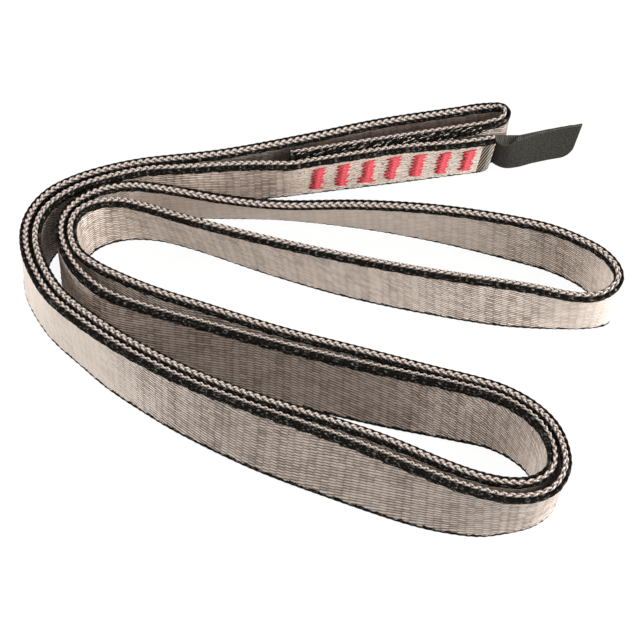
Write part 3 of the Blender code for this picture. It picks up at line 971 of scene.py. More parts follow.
@dataclass(frozen=True)
class TapeFinish:
    """Satin woven tape, pale between two black borders with wavy inner edges and painted highlights
    on the borders' cords.

    Each noise has its scales along and across the tape. A row of painted light and shade has its
    centre and its reach along the tape in mm, how much of the weave it takes over, and its own level.
    """

    length: float
    joint_length: float
    light: Colour = shown(251, 236, 223)
    dark: Colour = shown(86, 67, 56)
    border: Colour = shown(22, 21, 18)
    # Colour of the painted glints on the black borders.
    border_glint: Colour = shown(150, 144, 136)
    stitched_light: Colour = shown(250, 238, 224)
    stitched_dark: Colour = shown(86, 72, 64)
    strip_dark: Colour = shown(20, 19, 17)
    strip_light: Colour = shown(178, 170, 157)
    cut_dark: Colour = shown(118, 110, 99)
    cut_light: Colour = shown(214, 203, 188)
    upper_border: float = 7.75 * MM
    lower_border: float = 8.3 * MM
    joint_border: float = 8.2 * MM
    joint_border_shares: tuple = (1.05, 0.95)
    far_layer_drop: float = 1.8 * MM
    far_layer_blend: float = 4.0 * MM
    hidden_end: tuple = (0.7 * MM, 0.4 * MM)
    border_blur: float = 0.07 * MM
    wave_pitch: float = 5.91 * MM
    wave_height: float = 0.62 * MM
    wave_crest: float = 0.72
    wave_middle: float = 0.4
    wave_drift: float = 0.7
    drift_scales: tuple = (120.0, 0.0)
    fray_height: float = 0.42 * MM
    fray_scales: tuple = ((800.0, 260.0), (2600.0, 500.0))
    cords: tuple = (("Float_Length", 1.4 * MM), ("Row_Pitch", 0.6 * MM), ("Slant", 0.8),
                    ("Shift", 0.3), ("End", 0.1))
    spark_scales: tuple = (900.0, 1900.0, 3.0)
    spark_range: tuple = (0.52, 0.72)
    glint_base: float = 0.3
    slant: float = 0.45
    slant_swing: float = -0.8
    slant_length: float = 190.0 * MM
    slant_start: float = 286.0 * MM
    tone_share: float = 0.45
    tone_base: float = 0.58
    patch_scales: tuple = (160.0, 60.0)
    patch_share: float = 0.4
    fibre_share: float = 0.3
    fibre_middle: float = 0.4
    band_scales: tuple = (330.0, 25.0)
    band_share: float = 0.5
    level_range: tuple = (0.1, 0.9)
    # Painted light and shade: places along the tape where the weave's colour is pulled lighter or
    # darker to stand in for how the light falls there.
    painted_light_and_shade: tuple = (
        (330, 70, 0.45, 0.12), (935, 60, 0.6, 0.0), (100, 60, 0.45, 0.0), (1245, 10, 0.2, 0.0),
        (785, 75, 0.6, 0.9), (605, 60, 0.3, 0.9), (690, 25, 0.5, 0.9), (1018, 30, 0.2, 0.85),
        (238, 35, 0.65, 0.95), (1150, 60, 0.2, 0.9))
    painted_spot_core: float = 0.4
    stitched_shares: tuple = (1.05, 0.96)
    stitched_cover: float = 0.85
    streak_pitch: float = 1.25 * MM
    streak_power: float = 0.6
    streak_relief: float = 0.8
    zigzag_reach: float = 0.9 * MM
    zigzag_run: float = 2.0 * MM
    wander: float = 3.2
    wander_scales: tuple = (420.0, 560.0)
    hatch_pitch: float = 0.9 * MM
    hatch_width: float = 2.2 * MM
    hatch_slope: float = 3.8
    hatch_power: float = 6.0
    cut_width: float = 1.15 * MM
    cut_blur: float = 0.15 * MM
    melt_range: tuple = (0.35, 1.0)
    melt_depth: float = 0.04 * MM
    roughness: float = 0.5
    roughness_fall: float = 0.2
    gloss: float = 0.35
    border_gloss: float = 0.05
    satin: float = 0.7
    satin_turn: float = 0.25
    sheen_share: float = 0.1
    cord_relief: float = 1.6
    relief: tuple = (0.8, 0.16 * MM)

    def border_mask(self, pen: NodePen, cut_map: Value) -> Value:
        """Where the tape is black.

        The distance from the middle is held against a level that rises slowly along each wave
        and falls back, with frayed ends of black threads. The hidden end is black all over.

        Args:
            pen: The material's pen.
            cut_map: The tape's map.

        Returns:
            The mask.
        """
        along, across = pen.parts(cut_map)
        drift = pen.noise(cut_map, *self.drift_scales)
        wave = (drift * self.wave_drift + along / self.wave_pitch).apply("FRACT")
        wave = wave * wave.ramp(1.0, self.wave_crest)
        coarse, fine = (pen.noise(cut_map, *scales) for scales in self.fray_scales)
        lift = ((wave - self.wave_middle) * self.wave_height
                + (coarse + fine - 1.0) * (2.0 * self.fray_height))
        start, end = (share * self.joint_length for share in self.joint_border_shares)
        rim = (self.length - along).ramp(start, end, self.upper_border, self.joint_border)
        rim = rim - along.ramp(self.joint_length, self.joint_length - self.far_layer_blend, 0.0,
                               self.far_layer_drop)
        above = across - (rim + lift)
        below = across * -1.0 - (lift + self.lower_border)
        mask = above.apply("MAXIMUM", below).ramp(-self.border_blur, self.border_blur)
        return mask.apply("MAXIMUM", along.ramp(*self.hidden_end))

    def weave_level(self, pen: NodePen, cut_map: Value, floats: dict[str, Value],
                    fibres: Value) -> Value:
        """How light the weave is: its floats, with patches, bands and filaments over them.

        Args:
            pen: The material's pen.
            cut_map: The tape's map.
            floats: Height and tone of the thread floats.
            fibres: The fine filaments.

        Returns:
            The level, from 0 to 1, pulled towards the painted light and shade at their places along
            the tape.
        """
        # The floats' heights set their colour: lighter crowns and darker ends, partly the woven
        # pattern and partly painted highlight and shade.
        level = (floats["Height"] * (floats["Tone"] * self.tone_share + self.tone_base)
                 + (pen.noise(cut_map, *self.patch_scales) - 0.5) * self.patch_share
                 + (fibres - self.fibre_middle) * self.fibre_share
                 + (pen.noise(cut_map, *self.band_scales) - 0.5) * self.band_share)
        level = level.ramp(*self.level_range)
        along, _ = pen.parts(cut_map)
        # Painted light and shade: near each listed place the level is pulled towards that place's own
        # lighter or darker level.
        for centre, reach, share, tone in self.painted_light_and_shade:
            off = abs(along - centre * MM)
            level = level.toward(tone, off.ramp(reach * MM, self.painted_spot_core * reach * MM, 0.0,
                                                share))
        return level

    def material(self, weave: bpy.types.NodeTree, grain: bpy.types.NodeTree) -> bpy.types.Material:
        """Build the material.

        In the joint, jagged streaks lie between the tacks: ribs across the tape that a zigzag
        and a noise bend. A hatched strip and the cut end follow.

        Args:
            weave: The group of thread floats.
            grain: The group of fine filaments.

        Returns:
            The tape's material.
        """
        canvas = Canvas.blank("taupe_tape")
        pen, cut_map = canvas.pen, canvas.cut_map
        along, across = pen.parts(cut_map)
        to_end = self.length - along
        swing = ((along - self.slant_start) * (TURN / self.slant_length)).apply("SINE")
        floats = pen.group(weave, Vector=cut_map, Slant=swing * self.slant_swing + self.slant)
        cords = pen.group(weave, Vector=cut_map, **dict(self.cords))["Height"]
        fibres = pen.group(grain, Vector=cut_map)["Grain"]
        sparks = pen.noise(cut_map, *self.spark_scales)
        border = self.border_mask(pen, cut_map)
        stitched = to_end.ramp(*(share * self.joint_length for share in self.stitched_shares))
        bent = (pen.noise(cut_map, *self.wander_scales) * self.wander
                + along.apply("PINGPONG", self.zigzag_reach) / self.zigzag_run)
        streaks = (across / self.streak_pitch + bent).ribs(self.streak_power)
        hatch = (to_end / self.hatch_pitch
                 + across / (self.hatch_slope * self.hatch_pitch)).ribs(self.hatch_power)
        cut_edge = self.cut_width + self.cut_blur
        cut = to_end.ramp(cut_edge, self.cut_width)
        strip = to_end.ramp(self.cut_width, cut_edge) * to_end.ramp(
            cut_edge + self.hatch_width, self.cut_width + self.hatch_width)
        melted = hatch.toward(sparks.ramp(*self.melt_range), to_end.ramp(self.melt_depth, 0.0))
        face = pen.mix(self.weave_level(pen, cut_map, floats, fibres), self.dark, self.light)
        jagged = pen.mix(streaks, self.stitched_dark, self.stitched_light)
        hatched = pen.mix(hatch, self.strip_dark, self.strip_light)
        ended = pen.mix(cut, pen.mix(strip, pen.mix(stitched * self.stitched_cover, face, jagged),
                                     hatched), pen.mix(melted, self.cut_dark, self.cut_light))
        # Painted highlights: pale glints on the black borders' cords, where a noise runs high.
        glint = sparks.ramp(*self.spark_range) * (cords * (1.0 - self.glint_base)
                                                  + self.glint_base)
        bare = 1.0 - border.apply("MAXIMUM", strip.apply("MAXIMUM", cut))
        relief = floats["Height"] + fibres * self.fibre_share
        threads = pen.node("Tangent")
        threads.direction_type = "UV_MAP"
        threads.uv_map = "CutMap"
        return canvas.dress(
            relief.toward(cords * self.cord_relief, border)
            + streaks * stitched * self.streak_relief, *self.relief,
            Base_Color=pen.mix(border, ended, pen.mix(glint, self.border, self.border_glint)),
            Metallic=bare * self.sheen_share,
            Specular_IOR_Level=bare * (self.gloss - self.border_gloss) + self.border_gloss,
            Roughness=border.apply("MAXIMUM", floats["Height"] * -self.roughness_fall
                                   + (self.roughness + self.roughness_fall)),
            Anisotropic=bare * self.satin, Anisotropic_Rotation=self.satin_turn,
            Tangent=Value(pen, threads.outputs["Tangent"]))


@dataclass(frozen=True)
class YarnFinish:
    """Twisted filament yarn or thread, with painted highlight and shade: bright on its crown, dark on
    its sides and where it dives.
    """

    name: str
    light: Colour
    dark: Colour
    roughness: float = 0.5
    roughness_base: float = 0.15
    roughness_fall: float = 0.25
    twist_pitch: float = 0.62 * MM
    twist_width: float = 0.9 * MM
    twist_share: float = 0.6
    strand_share: float = 1.2
    strand_base: float = 0.12
    gloss: float = 0.25
    crown_power: float = 1.4
    relief: tuple = (0.7, 0.08 * MM)

    def material(self, grain: bpy.types.NodeTree) -> bpy.types.Material:
        """Build the material.

        Args:
            grain: The group of fine filaments.

        Returns:
            The yarn's material.
        """
        canvas = Canvas.blank(self.name)
        pen = canvas.pen
        fibres = pen.group(grain, Vector=canvas.cut_map)["Grain"]
        along, around = pen.parts(canvas.cut_map)
        twist = (along / self.twist_pitch + around / self.twist_width).ribs()
        strands = twist * self.twist_share + fibres * (1.0 - self.twist_share)
        # Painted highlight and shade: the colour darkens from the crown towards the yarn's sides and
        # where it dives, by the number its piece carries, over its twist and filaments.
        level = canvas.painted_shade_and_tone ** self.crown_power * (strands * self.strand_share + self.strand_base)
        return canvas.dress(
            strands, *self.relief, Base_Color=pen.mix(level, self.dark, self.light),
            Roughness=fibres * -self.roughness_fall + (self.roughness + self.roughness_base),
            Specular_IOR_Level=self.gloss)


@dataclass(frozen=True)
class RibbonFinish:
    """Plain charcoal ribbon with fine ribs and a beaded selvage."""

    half_width: float
    light: Colour = shown(66, 64, 58)
    dark: Colour = shown(9, 9, 8)
    bead: Colour = shown(120, 117, 110)
    ribs: tuple = (("Float_Length", 0.7 * MM), ("Row_Pitch", 0.36 * MM))
    rib_share: float = 0.6
    fibre_scale: float = 5000.0
    grain_scales: tuple = (1300.0, 2400.0, 3.0)
    grain_share: float = 1.6
    edge_insets: tuple = (0.3 * MM, 0.1 * MM)
    bead_pitch: float = 0.55 * MM
    bead_power: float = 2.0
    bead_share: float = 0.7
    roughness_range: tuple = (0.9, 0.65)
    gloss: float = 0.15
    relief: tuple = (0.6, 0.05 * MM)

    def material(self, weave: bpy.types.NodeTree, grain: bpy.types.NodeTree) -> bpy.types.Material:
        """Build the material.

        Args:
            weave: The group of thread floats.
            grain: The group of fine filaments.

        Returns:
            The ribbon's material.
        """
        canvas = Canvas.blank("charcoal_ribbon")
        pen, cut_map = canvas.pen, canvas.cut_map
        along, across = pen.parts(cut_map)
        floats = pen.group(weave, Vector=cut_map, **dict(self.ribs))["Height"]
        fibres = pen.group(grain, Vector=cut_map, Along=self.fibre_scale)["Grain"]
        level = (floats * self.rib_share + fibres * (1.0 - self.rib_share)
                 + (pen.noise(cut_map, *self.grain_scales) - 0.5) * self.grain_share)
        edge = abs(across).ramp(*(self.half_width - inset for inset in self.edge_insets))
        beads = edge * (along / self.bead_pitch).ribs(self.bead_power)
        cloth = pen.mix(level, self.dark, self.light)
        return canvas.dress(
            level + beads, *self.relief,
            Base_Color=pen.mix(beads * self.bead_share, cloth, self.bead),
            Roughness=level.ramp(0.0, 1.0, *self.roughness_range), Specular_IOR_Level=self.gloss)


# Sub-assemblies

@dataclass
class Webbing:
    """The woven tape: a flat section with thicker, rounded borders carried along the route."""

    route: TapeRoute
    station_step: float = 0.5 * MM
    body_half: float = 1.15 * MM
    border_half: float = 1.3 * MM
    border_start: float = 7.5 * MM
    border_blend: float = 0.6 * MM
    border_ripple: float = 0.07 * MM
    corner: float = 2.4 * MM

    def section(self) -> Array:
        """Outline of the tape, round from the middle of its left face.

        The borders are thicker than the body, and the right one rises above the plait's seat.

        Returns:
            Rows of an offset through the tape and one up its face.
        """
        body, border = self.body_half, self.border_half
        side = np.array(((body, 0.0), (body, 3.9 * MM), (body, 7.3 * MM),
                         ((body + border) / 2, 7.75 * MM), (border, 8.3 * MM)))
        left_edge = MM * np.array(((1.3, 8.7), (1.18, 9.0), (0.75, 9.08), (0.0, 9.08)))
        shoulder = MM * np.array(((-0.45, 9.12), (-0.62, 9.32), (-0.85, 9.48), (-1.1, 9.4),
                                  (-1.27, 9.1), (-1.3, 8.7)))
        sole = MM * np.array(((-1.3, -8.9), (-1.2, -9.3), (-0.6, -9.35), (0.0, -9.35),
                              (0.6, -9.35), (1.2, -9.3), (1.3, -8.9)))
        return np.vstack((side, left_edge, shoulder, side[::-1] * (-1.0, 1.0),
                          side[1:] * (-1.0, -1.0), sole, side[:0:-1] * (1.0, -1.0)))

    def build(self, look: bpy.types.Material) -> bpy.types.Object:
        """Sweep the section along the route.

        Each point is middle + through * x + face * y, where x grows at the borders by a small
        sine along the tape, and no point goes below the floor. At the cut end the lower corner
        is drawn back along a quarter circle.

        Args:
            look: The tape's material.

        Returns:
            The tape, which stands for the webbing's solid.
        """
        along = even_steps(self.route.length, self.station_step)
        frames = self.route.frames(along)
        outline = self.section()
        at_border = np.clip((np.abs(outline[:, 1]) - self.border_start) / self.border_blend,
                            0.0, 1.0)
        ripple = self.border_ripple * np.sin(TURN * along / LOBE_PITCH)
        through = outline[:, 0] + np.sign(outline[:, 0]) * at_border * ripple[:, None]
        face = np.broadcast_to(outline[:, 1], through.shape)
        rings = frames.place(through, face)
        drawn = np.clip(1.0 - (self.route.length - along) / (2.0 * self.corner), 0.0, 1.0)
        back = drawn[:, None] * corner_back(outline[:, 1], self.route.flat_reach, self.corner)
        rings -= frames.along[:, None] * back[..., None]
        rings[..., 2] = np.maximum(rings[..., 2], FLOOR_GAP)
        uvs = np.stack((np.broadcast_to(along[:, None], through.shape), face), axis=-1)
        made = mesh_object("webbing_tape", ring_shell(rings[:, ::-1], uvs[:, ::-1]), look)
        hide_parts("webbing")
        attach(made, "sewn_sling")
        return made


@dataclass
class SelvagePlait:
    """Flat plait of three yarns on one edge of the tape, the upper one nearer its left face."""

    route: TapeRoute
    edge: Selvage
    yarns: int = 3
    swing: float = 0.48 * MM
    crossing: float = 0.27 * MM
    seat: float = 9.2 * MM
    yarn_half_width: float = 0.36 * MM
    yarn_half_height: float = 0.33 * MM
    plumpness: float = 0.15
    plump_lead: float = math.pi / 4
    lower_share: float = 0.85
    painted_crown_shares: tuple = (0.02, 0.78, 0.34)
    crown_top: float = 1.1
    station_step: float = 0.33 * MM

    def yarn(self, along: Array, index: int) -> Shell:
        """One yarn of the plait.

        Its middle swings through the tape as a sine of the distance along it and rises off the
        edge as minus the sine of twice that, a third of a turn after the yarn before it. The
        upper plait's offset and width are read between the rows of its table.

        Args:
            along: Distances of its stations.
            index: Its number, from 0 to 2.

        Returns:
            The yarn's surface.
        """
        phase = TURN * (along / (self.yarns * LOBE_PITCH) + index / self.yarns)
        plump = 1.0 + self.plumpness * np.cos(2 * phase + self.plump_lead)
        rise = -np.sin(2 * phase)
        out = self.seat + self.crossing * rise
        upper = self.edge is Selvage.UPPER
        seats = np.array(PLAIT_SEATS)
        offset, share = (np.interp(along, seats[:, 0] * MM, seats[:, k]) for k in (1, 2))
        narrow = share if upper else np.full_like(along, self.lower_share)
        middle = upper * offset * MM + narrow * self.swing * np.sin(phase)
        through = middle[:, None] + (narrow * plump)[:, None] * (
            self.yarn_half_width * np.cos(THREAD_TURN))
        face = self.edge.value * (out[:, None] + plump[:, None] * (
            self.yarn_half_height * np.sin(THREAD_TURN)))
        rings = self.route.frames(along).place(through, face)
        rings[..., 2] = np.maximum(rings[..., 2], FLOOR_GAP)
        # Painted shade and highlight: each point's number is low on the yarn's sides and where it
        # dives under the next yarn, high on its crown where it rises.
        base, crown, lifted = self.painted_crown_shares
        painted_shade_and_tone = np.clip(base + crown * np.sin(THREAD_TURN) + lifted * rise[:, None],
                      0.0, self.crown_top)
        return thread_shell(rings, along, self.yarn_half_width, painted_shade_and_tone, mirrored=upper)

    def build(self, look: bpy.types.Material) -> bpy.types.Object:
        """Plait the three yarns along the whole edge.

        Args:
            look: The yarn's material.

        Returns:
            The plait.
        """
        along = even_steps(self.route.length, self.station_step)
        shell = Shell.join([self.yarn(along, index) for index in range(self.yarns)])
        made = mesh_object(f"{self.edge.name.lower()}_selvage_plait", shell, look)
        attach(made, "sewn_sling")
        return made


@dataclass
class BarTack:
    """Bar of zigzag stitches through both layers of the joint, seen on both faces.

    Shares are a base and what the layer, the random numbers, the arch or the turn add to it.
    """

    route: TapeRoute
    index: int
    height: float = 12.5 * MM
    width: float = 2.8 * MM
    inset: float = 0.25 * MM
    raise_by: float = 1.0 * MM
    shift: float = 0.5 * MM
    slant: float = math.radians(1.5)
    passes: int = 14
    layer_rise: float = 0.4
    layer_narrowing: float = 1.1
    thread_half: float = 0.36 * MM
    swell_shares: tuple = (0.15, 0.85)
    ragged: float = 1.15 * MM
    ragged_shares: tuple = (0.25, 0.75)
    sink: float = 0.16 * MM
    lift: float = 0.24 * MM
    lift_shares: tuple = (0.7, 0.45, 0.4)
    arch_power: float = 0.45
    painted_crown_shares: tuple = (0.35, 0.45, 0.35)
    painted_shade_and_tone_shares: tuple = (0.45, 0.65)
    map_step: float = 7 * MM
    stations: int = 9
    random_start: int = 40
    foot: float = 0.0
    foot_height: float = 0.26
    foot_sides: tuple = (1.0, 0.8)

    def stitch(self, number: int, layer: int, side: int, jitter: Array) -> Shell:
        """One pass of the zigzag.

        It crosses the bar from one edge to the other while it rises by the height of a pass,
        and arches off the face as a root of the sine of the way across. It shares its ends
        with the passes before and after it, so that they meet in points.

        Args:
            number: Its place from the bottom.
            layer: 0 for the zigzag below, 1 for the narrower one that lies over it.
            side: -1 on the face towards the viewer, +1 on the far face.
            jitter: Random shares for its first end, its last end and its height.

        Returns:
            The stitch's surface.
        """
        way = np.linspace(0.0, 1.0, self.stations)
        z = self.height * ((number + self.layer_rise * layer + way) / self.passes - 0.5)
        share = (number + 0.5) / self.passes
        flare = self.foot * np.clip(1.0 - share / self.foot_height, 0.0, 1.0)
        heading = 1 if (number + layer) % 2 else -1
        steady, loose = self.ragged_shares
        spikes = self.ragged * (steady + loose * jitter[:2]) * (1.0 - self.layer_narrowing * layer)
        ends = self.width / 2 - self.inset + spikes + flare * np.array(self.foot_sides)
        x = heading * (way * ends[1] - (1.0 - way) * ends[0]) + self.shift
        arch = np.sin(math.pi * way)
        level, over, chance = self.lift_shares
        out = self.lift * (level + over * layer + chance * jitter[2]) * arch ** self.arch_power
        thin, full = self.swell_shares
        half = self.thread_half * (thin + full * arch ** self.arch_power)[:, None]
        turned_x = x * math.cos(self.slant) + z * math.sin(self.slant)
        turned_z = z * math.cos(self.slant) - x * math.sin(self.slant) + self.raise_by
        reach = (self.index - (self.route.tack_count + 1) / 2) * self.route.tack_pitch
        frames = self.route.joint_frames(reach + turned_x, near=side < 0)
        outside = side * ((self.route.layer_spacing + self.route.thickness) / 2 - self.sink + out)
        rings = frames.place(outside[:, None] + side * half * np.cos(THREAD_TURN),
                             turned_z[:, None] + half * np.sin(THREAD_TURN))
        # Painted highlight and shade: lighter on the thread's outer and upper side and over the top
        # of its arch, darker on its other sides and at its ends.
        base, outer, upper = self.painted_crown_shares
        crown = np.clip(base + outer * np.cos(THREAD_TURN) + upper * np.sin(THREAD_TURN), 0.0, 1.0)
        dim, bright = self.painted_shade_and_tone_shares
        return thread_shell(rings, x + number * self.map_step, self.thread_half,
                            crown * (dim + bright * arch[:, None]), mirrored=side * heading < 0)

    def build(self, look: bpy.types.Material) -> bpy.types.Object:
        """Stitch both faces of the bar.

        Args:
            look: The thread's material.

        Returns:
            The bar tack, which stands for its solid.
        """
        chance = np.random.default_rng(self.random_start + self.index)
        shells = []
        for side in (-1, 1):
            for layer in (0, 1):
                ends, rises = chance.random((2, self.passes + 1))
                shells += [self.stitch(i, layer, side, np.array((*ends[i:i + 2], rises[i])))
                           for i in range(self.passes - layer)]
        made = mesh_object(f"zigzag_tack_{self.index}", Shell.join(shells), look)
        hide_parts(f"bar_tack_{self.index}")
        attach(made, "sewn_sling")
        return made


@dataclass
class EdgeStitches:
    """Short pale stitches that show between the joint's two layers, at their upper edges.

    Shares are a base and what the random numbers, the arch or the turn add to it.
    """

    route: TapeRoute
    first: float = -26.0 * MM
    last: float = 26.0 * MM
    pitch: float = 0.62 * MM
    dash: float = 1.2 * MM
    dash_shares: tuple = (0.6, 0.6)
    spread: float = 3.2 * MM
    drift: float = 0.35 * MM
    thread_half: float = 0.15 * MM
    swell_shares: tuple = (0.25, 0.75)
    level: float = 9.1 * MM
    arch_rise: float = 0.3 * MM
    painted_shade_and_tone_shares: tuple = (0.25, 0.6, 0.4)
    stations: int = 8
    random_start: int = 7

    def dash_shell(self, start: float, jitter: Array) -> Shell:
        """One stitch: a thread that rises from the gap and dives again as a sine.

        Args:
            start: Where it begins, from the joint's middle.
            jitter: Random shares for its length, its place in the gap and its tone.

        Returns:
            The stitch's surface.
        """
        way = np.linspace(0.0, 1.0, self.stations)
        arch = np.sin(math.pi * way)
        shortest, longer = self.dash_shares
        reach = start + (shortest + longer * jitter[0]) * self.dash * way
        thin, full = self.swell_shares
        half = self.thread_half * (thin + full * arch)[:, None]
        through = ((jitter[1] - 0.5) * self.spread + self.drift * (way - 0.5))[:, None]
        face = (self.level + self.arch_rise * arch)[:, None]
        rings = self.route.joint_frames(reach).place(through + half * np.cos(THREAD_TURN),
                                                     face + half * np.sin(THREAD_TURN))
        # Painted shade on the thread's sides under a lighter crown, over a random tone for each
        # stitch.
        dim, bright, crown = self.painted_shade_and_tone_shares
        painted_shade_and_tone = np.clip(dim + bright * jitter[2] ** 2 + crown * np.sin(THREAD_TURN), 0.0, 1.0)
        return thread_shell(rings, reach, self.thread_half, painted_shade_and_tone, mirrored=True)

    def build(self, look: bpy.types.Material) -> bpy.types.Object:
        """Sew the row of stitches.

        Args:
            look: The thread's material.

        Returns:
            The stitches.
        """
        chance = np.random.default_rng(self.random_start)
        shells = [self.dash_shell(start, chance.random(3))
                  for start in np.arange(self.first, self.last, self.pitch)]
        made = mesh_object("edge_stitches", Shell.join(shells), look)
        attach(made, "sewn_sling")
        return made


@dataclass
class FoldedLabel:
    """Ribbon folded double at its tip, with its ends caught between the joint's layers."""

    route: TapeRoute
    width: float = 13.0 * MM
    seen_width: float = 12.2 * MM
    drop: float = 0.35 * MM
    root_drop: float = 1.9 * MM
    root_start: float = 1.0 * MM
    root_reach: float = 9.0 * MM
    ply: float = 0.26 * MM
    sewn_length: float = 9.5 * MM
    flap_length: float = 27.0 * MM
    end_slant: float = math.radians(11.0)
    ply_gap: float = 0.04 * MM
    loft: float = 0.05 * MM
    ripple: float = 0.08 * MM
    ripple_reaches: tuple = (0.85 * MM, 0.53 * MM)
    ripple_power: int = 5
    corner: float = 3.3 * MM
    bend_reach: tuple = (-0.5 * MM, 0.8 * MM)
    curve_step: float = 0.25 * MM
    length_step: float = 0.01
    rows: int = 40
    columns: int = 92
    curve: Array = field(init=False)
    tip_reach: float = field(init=False)

    def __post_init__(self) -> None:
        """Work out the flap's own curve and how far its tip is."""
        table = np.array(LABEL_LINE_SHARES, dtype=float)
        bends = np.column_stack((table[:, :2] * self.flap_length, np.radians(table[:, 2])))
        self.curve = smooth_curve(bends, self.curve_step)
        self.tip_reach = arc_length(smooth_curve(table, self.length_step))[-1] * self.flap_length

    def middle(self, reach: Array) -> tuple[Array, Array, Array]:
        """Middle line of the label, with its through and face directions.

        Before the hinge it is the joint's middle plane; after it, the flap's own curve is set
        in the joint's frame at the hinge.

        Args:
            reach: Distances from the hinge.

        Returns:
            Places, through directions and face directions.
        """
        rooted = self.route.joint_frames(self.route.hinge_reach + np.minimum(reach, 0.0))
        seat = self.route.joint_frames(self.route.hinge_reach)
        last = len(self.curve) - 1.0
        rows = np.clip(reach, 0.0, None) / arc_length(self.curve)[-1] * last
        spots, heading = read_line(self.curve, np.minimum(rows, last), 1.0)
        cos, sin = np.cos(spots[:, 2])[:, None], np.sin(spots[:, 2])[:, None]
        axes = np.stack((seat.along[0], seat.through[0], seat.face[0]))
        left = np.column_stack((-heading[:, 1], heading[:, 0])) @ axes[:2]
        free = (reach > 0.0)[:, None]
        places = np.where(free, seat.middle[0] + spots[:, :2] @ axes[:2], rooted.middle)
        through = np.where(free, left * cos + axes[2] * sin, rooted.through)
        face = np.where(free, axes[2] * cos - left * sin, rooted.face)
        return places, through, face

    def ring(self, row: float, tip: float) -> tuple[Array, Array]:
        """Closed ring of the folded ribbon's two sides at one height.

        It goes out along the near ply's outer side, round the tip and back along the far ply,
        and again out and back along the inner sides.

        Args:
            row: Height from the ribbon's middle.
            tip: Distance of the fold from the hinge.

        Returns:
            The ring and its map.
        """
        above = row / (self.seen_width / 2)
        reach = np.linspace(-self.sewn_length, tip, self.columns)
        places, through, face = self.middle(reach)
        bend = self.ply_gap / 2 + self.ply
        last_step = places[-1] - places[-2]
        end = places[-1] + last_step / np.linalg.norm(last_step) * bend
        end += face[-1] * (row - self.drop)
        sunk = np.sin(math.pi * np.clip((reach + self.root_start) / self.root_reach, 0.0, 1.0))
        waves = sum(np.sin(reach / length) for length in self.ripple_reaches)
        height = (row - self.drop - self.root_drop * (above + 1.0) / 2 * sunk
                  + self.ripple * max(above, 0.0) ** self.ripple_power * waves)
        base = places + face * height[:, None]
        open_up = self.loft * np.sin(math.pi * np.clip(reach / tip, 0.0, 1.0)) ** 2
        inner = self.ply_gap / 2 + open_up
        near_out, near_in, far_in, far_out = (
            base + through * offset[:, None]
            for offset in (-inner - self.ply, -inner, inner, inner + self.ply))
        ring = np.vstack((near_out, end[None], far_out[::-1], far_in, near_in[::-1]))
        run = np.concatenate((reach, (tip + bend,), reach[::-1], reach, reach[::-1]))
        return ring, np.column_stack((run, np.full(len(run), row)))

    def build(self, look: bpy.types.Material) -> bpy.types.Object:
        """Fold the ribbon.

        Rings are set across the width, and each row's tip is drawn back by the end's slant and
        the rounded corner.

        Args:
            look: The ribbon's material.

        Returns:
            The label, which stands for its two solids.
        """
        half = self.seen_width / 2
        across = half * np.sin(np.linspace(-math.pi / 2, math.pi / 2, self.rows))
        tips = (self.tip_reach - half * math.sin(self.end_slant)
                + math.tan(self.end_slant) * across - corner_back(across, half, self.corner))
        rings, uvs = zip(*(self.ring(row, tip) for row, tip in zip(across, tips)))
        made = mesh_object("folded_label", ring_shell(np.array(rings), np.array(uvs)), look)
        start, end = (self.route.joint_frames(self.route.hinge_reach + step).middle[0]
                      for step in self.bend_reach)
        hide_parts("label_sewn_end", "label_flap")
        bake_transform(made)
        return made


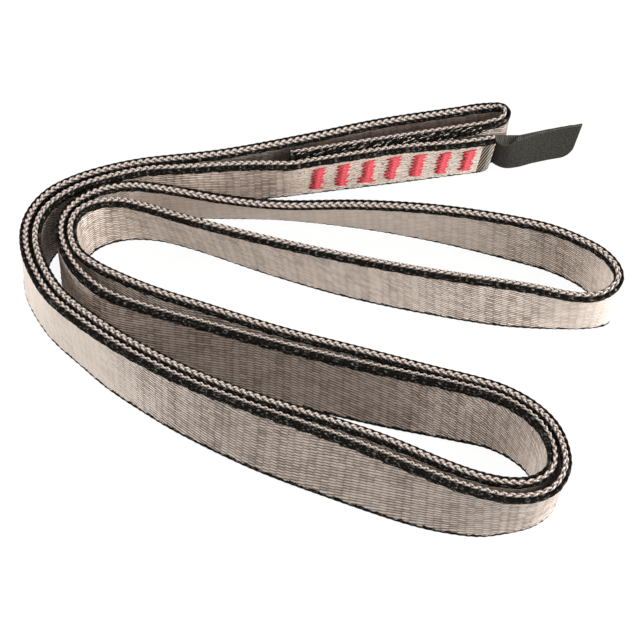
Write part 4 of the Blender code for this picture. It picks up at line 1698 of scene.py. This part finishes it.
@dataclass
class Studio:
    """Pale floor, soft lights and the camera at the photograph's angle.

    A lamp has its name, its place, its side and its power.
    """

    camera_spot: Spot = (0.539 * MM, -379.70 * MM, 439.81 * MM)
    camera_pitch: float = math.radians(41.0)
    lens: float = 123.75
    sensor_width: float = 36.0
    nearest_seen: float = 0.01
    floor_size: float = 4.0
    floor_greys: tuple = (shown(232, 232, 231), shown(237, 237, 236))
    floor_mottle: tuple = (6.0, 6.0)
    floor_roughness: float = 0.9
    floor_gloss: float = 0.2
    floor_glow: float = 1.1
    floor_glow_share: float = 0.84
    sky_strength: float = 0.17
    lamps: tuple = (
        ("right", (0.64, -0.55, 0.44), 0.50, 6.4), ("low_right", (0.93, -0.12, 0.22), 0.40, 8.0),
        ("left", (-0.86, 0.26, 0.42), 0.50, 7.6), ("top", (0.05, 0.10, 0.90), 0.50, 0.8))

    def camera(self) -> bpy.types.Object:
        """Camera with the fitted lens.

        Returns:
            The camera, which the scene uses.
        """
        data = bpy.data.cameras.new("camera")
        data.lens = self.lens
        data.sensor_width = self.sensor_width
        data.clip_start = self.nearest_seen
        made = linked_object("camera", data)
        made.location = self.camera_spot
        made.rotation_euler = (self.camera_pitch, 0.0, 0.0)
        bpy.context.scene.camera = made
        return made

    def floor(self) -> bpy.types.Object:
        """Plain plane under the sling, white to the camera except for a soft shadow.

        Returns:
            The floor, which is not part of the piece.
        """
        half = self.floor_size / 2
        mesh = bpy.data.meshes.new("floor")
        mesh.from_pydata([(-half, -half, 0), (half, -half, 0), (half, half, 0), (-half, half, 0)],
                         [], [(0, 1, 2, 3)])
        look = bpy.data.materials.new("pale_floor")
        look.use_nodes = True
        nodes = look.node_tree.nodes
        pen = NodePen(look.node_tree)
        shader = nodes["Principled BSDF"]
        mottle = pen.noise(pen.value("TexCoord", "Object"), *self.floor_mottle)
        pen.feed_named(shader, {"Base_Color": pen.mix(mottle, *self.floor_greys),
                                "Roughness": self.floor_roughness,
                                "Specular_IOR_Level": self.floor_gloss})
        part = pen.node("MixShader", Fac=pen.seen() * self.floor_glow_share)
        pen.feed(part.inputs[1], Value(pen, shader.outputs["BSDF"]))
        pen.feed(part.inputs[2], pen.value("Emission", Color=WHITE, Strength=self.floor_glow))
        pen.feed(nodes["Material Output"].inputs["Surface"], Value(pen, part.outputs["Shader"]))
        mesh.materials.append(look)
        made = linked_object("floor", mesh)
        return made

    def world(self) -> None:
        """Even pale surround, plain white where it is seen or reflected."""
        world = bpy.data.worlds.new("surround")
        world.use_nodes = True
        pen = NodePen(world.node_tree)
        strength = pen.seen() * (1.0 - self.sky_strength) + self.sky_strength
        pen.feed_named(world.node_tree.nodes["Background"], {"Color": WHITE, "Strength": strength})
        bpy.context.scene.world = world

    def lamp(self, name: str, spot: Spot, size: float, watts: float) -> None:
        """Soft square lamp that faces the sling.

        Args:
            name: The lamp's name.
            spot: Its place.
            size: Its side.
            watts: Its power.
        """
        data = bpy.data.lights.new(name, "AREA")
        data.size = size
        data.energy = watts
        made = linked_object(name, data)
        made.location = spot
        made.rotation_euler = (-Vector(spot)).to_track_quat("-Z", "Y").to_euler()

    def build(self) -> None:
        """Set up the whole stage."""
        self.camera()
        self.floor()
        self.world()
        for lamp in self.lamps:
            self.lamp(*lamp)
        bpy.context.scene.view_settings.view_transform = "Standard"


def report(piece: bpy.types.Object) -> None:
    """Log a piece's name and face count."""
    LOG.info("%s: %d faces", piece.name, len(piece.data.polygons))


def main() -> None:
    """Build the stage, the tape with its plaits and tacks, and the label."""
    Studio().build()
    route = TapeRoute()
    weave, grain = float_weave_group(), fibre_grain_group()
    tape = Webbing(route).build(
        TapeFinish(route.length, route.joint_length).material(weave, grain))
    report(tape)
    # The yarn's dark colour is painted shade on its sides and where it dives, and its light colour
    # its beige crown.
    yarn = YarnFinish("beige_yarn", shown(246, 226, 213), shown(28, 19, 15),
                      roughness=0.42, gloss=0.4, crown_power=2.2).material(grain)
    plaits = [SelvagePlait(route, edge).build(yarn) for edge in Selvage]
    stitches = EdgeStitches(route).build(yarn)
    for piece in (*plaits, stitches):
        report(piece)
    # The thread's own red is its dark colour, and its pale pink light colour is painted highlight on
    # its crown.
    thread = YarnFinish("red_satin_thread", shown(252, 126, 134), shown(186, 2, 38),
                        twist_share=0.25, gloss=0.12, crown_power=2.6).material(grain)
    for index in range(1, route.tack_count + 1):
        foot = FLARED_FOOT if index == FLARED_TACK else 0.0
        report(BarTack(route, index, foot=foot).build(thread))
    label = FoldedLabel(route)
    ribbon = label.build(RibbonFinish(label.seen_width / 2).material(weave, grain))
    report(ribbon)


if __name__ == "__main__":
    logging.basicConfig(level=logging.INFO)
    main()
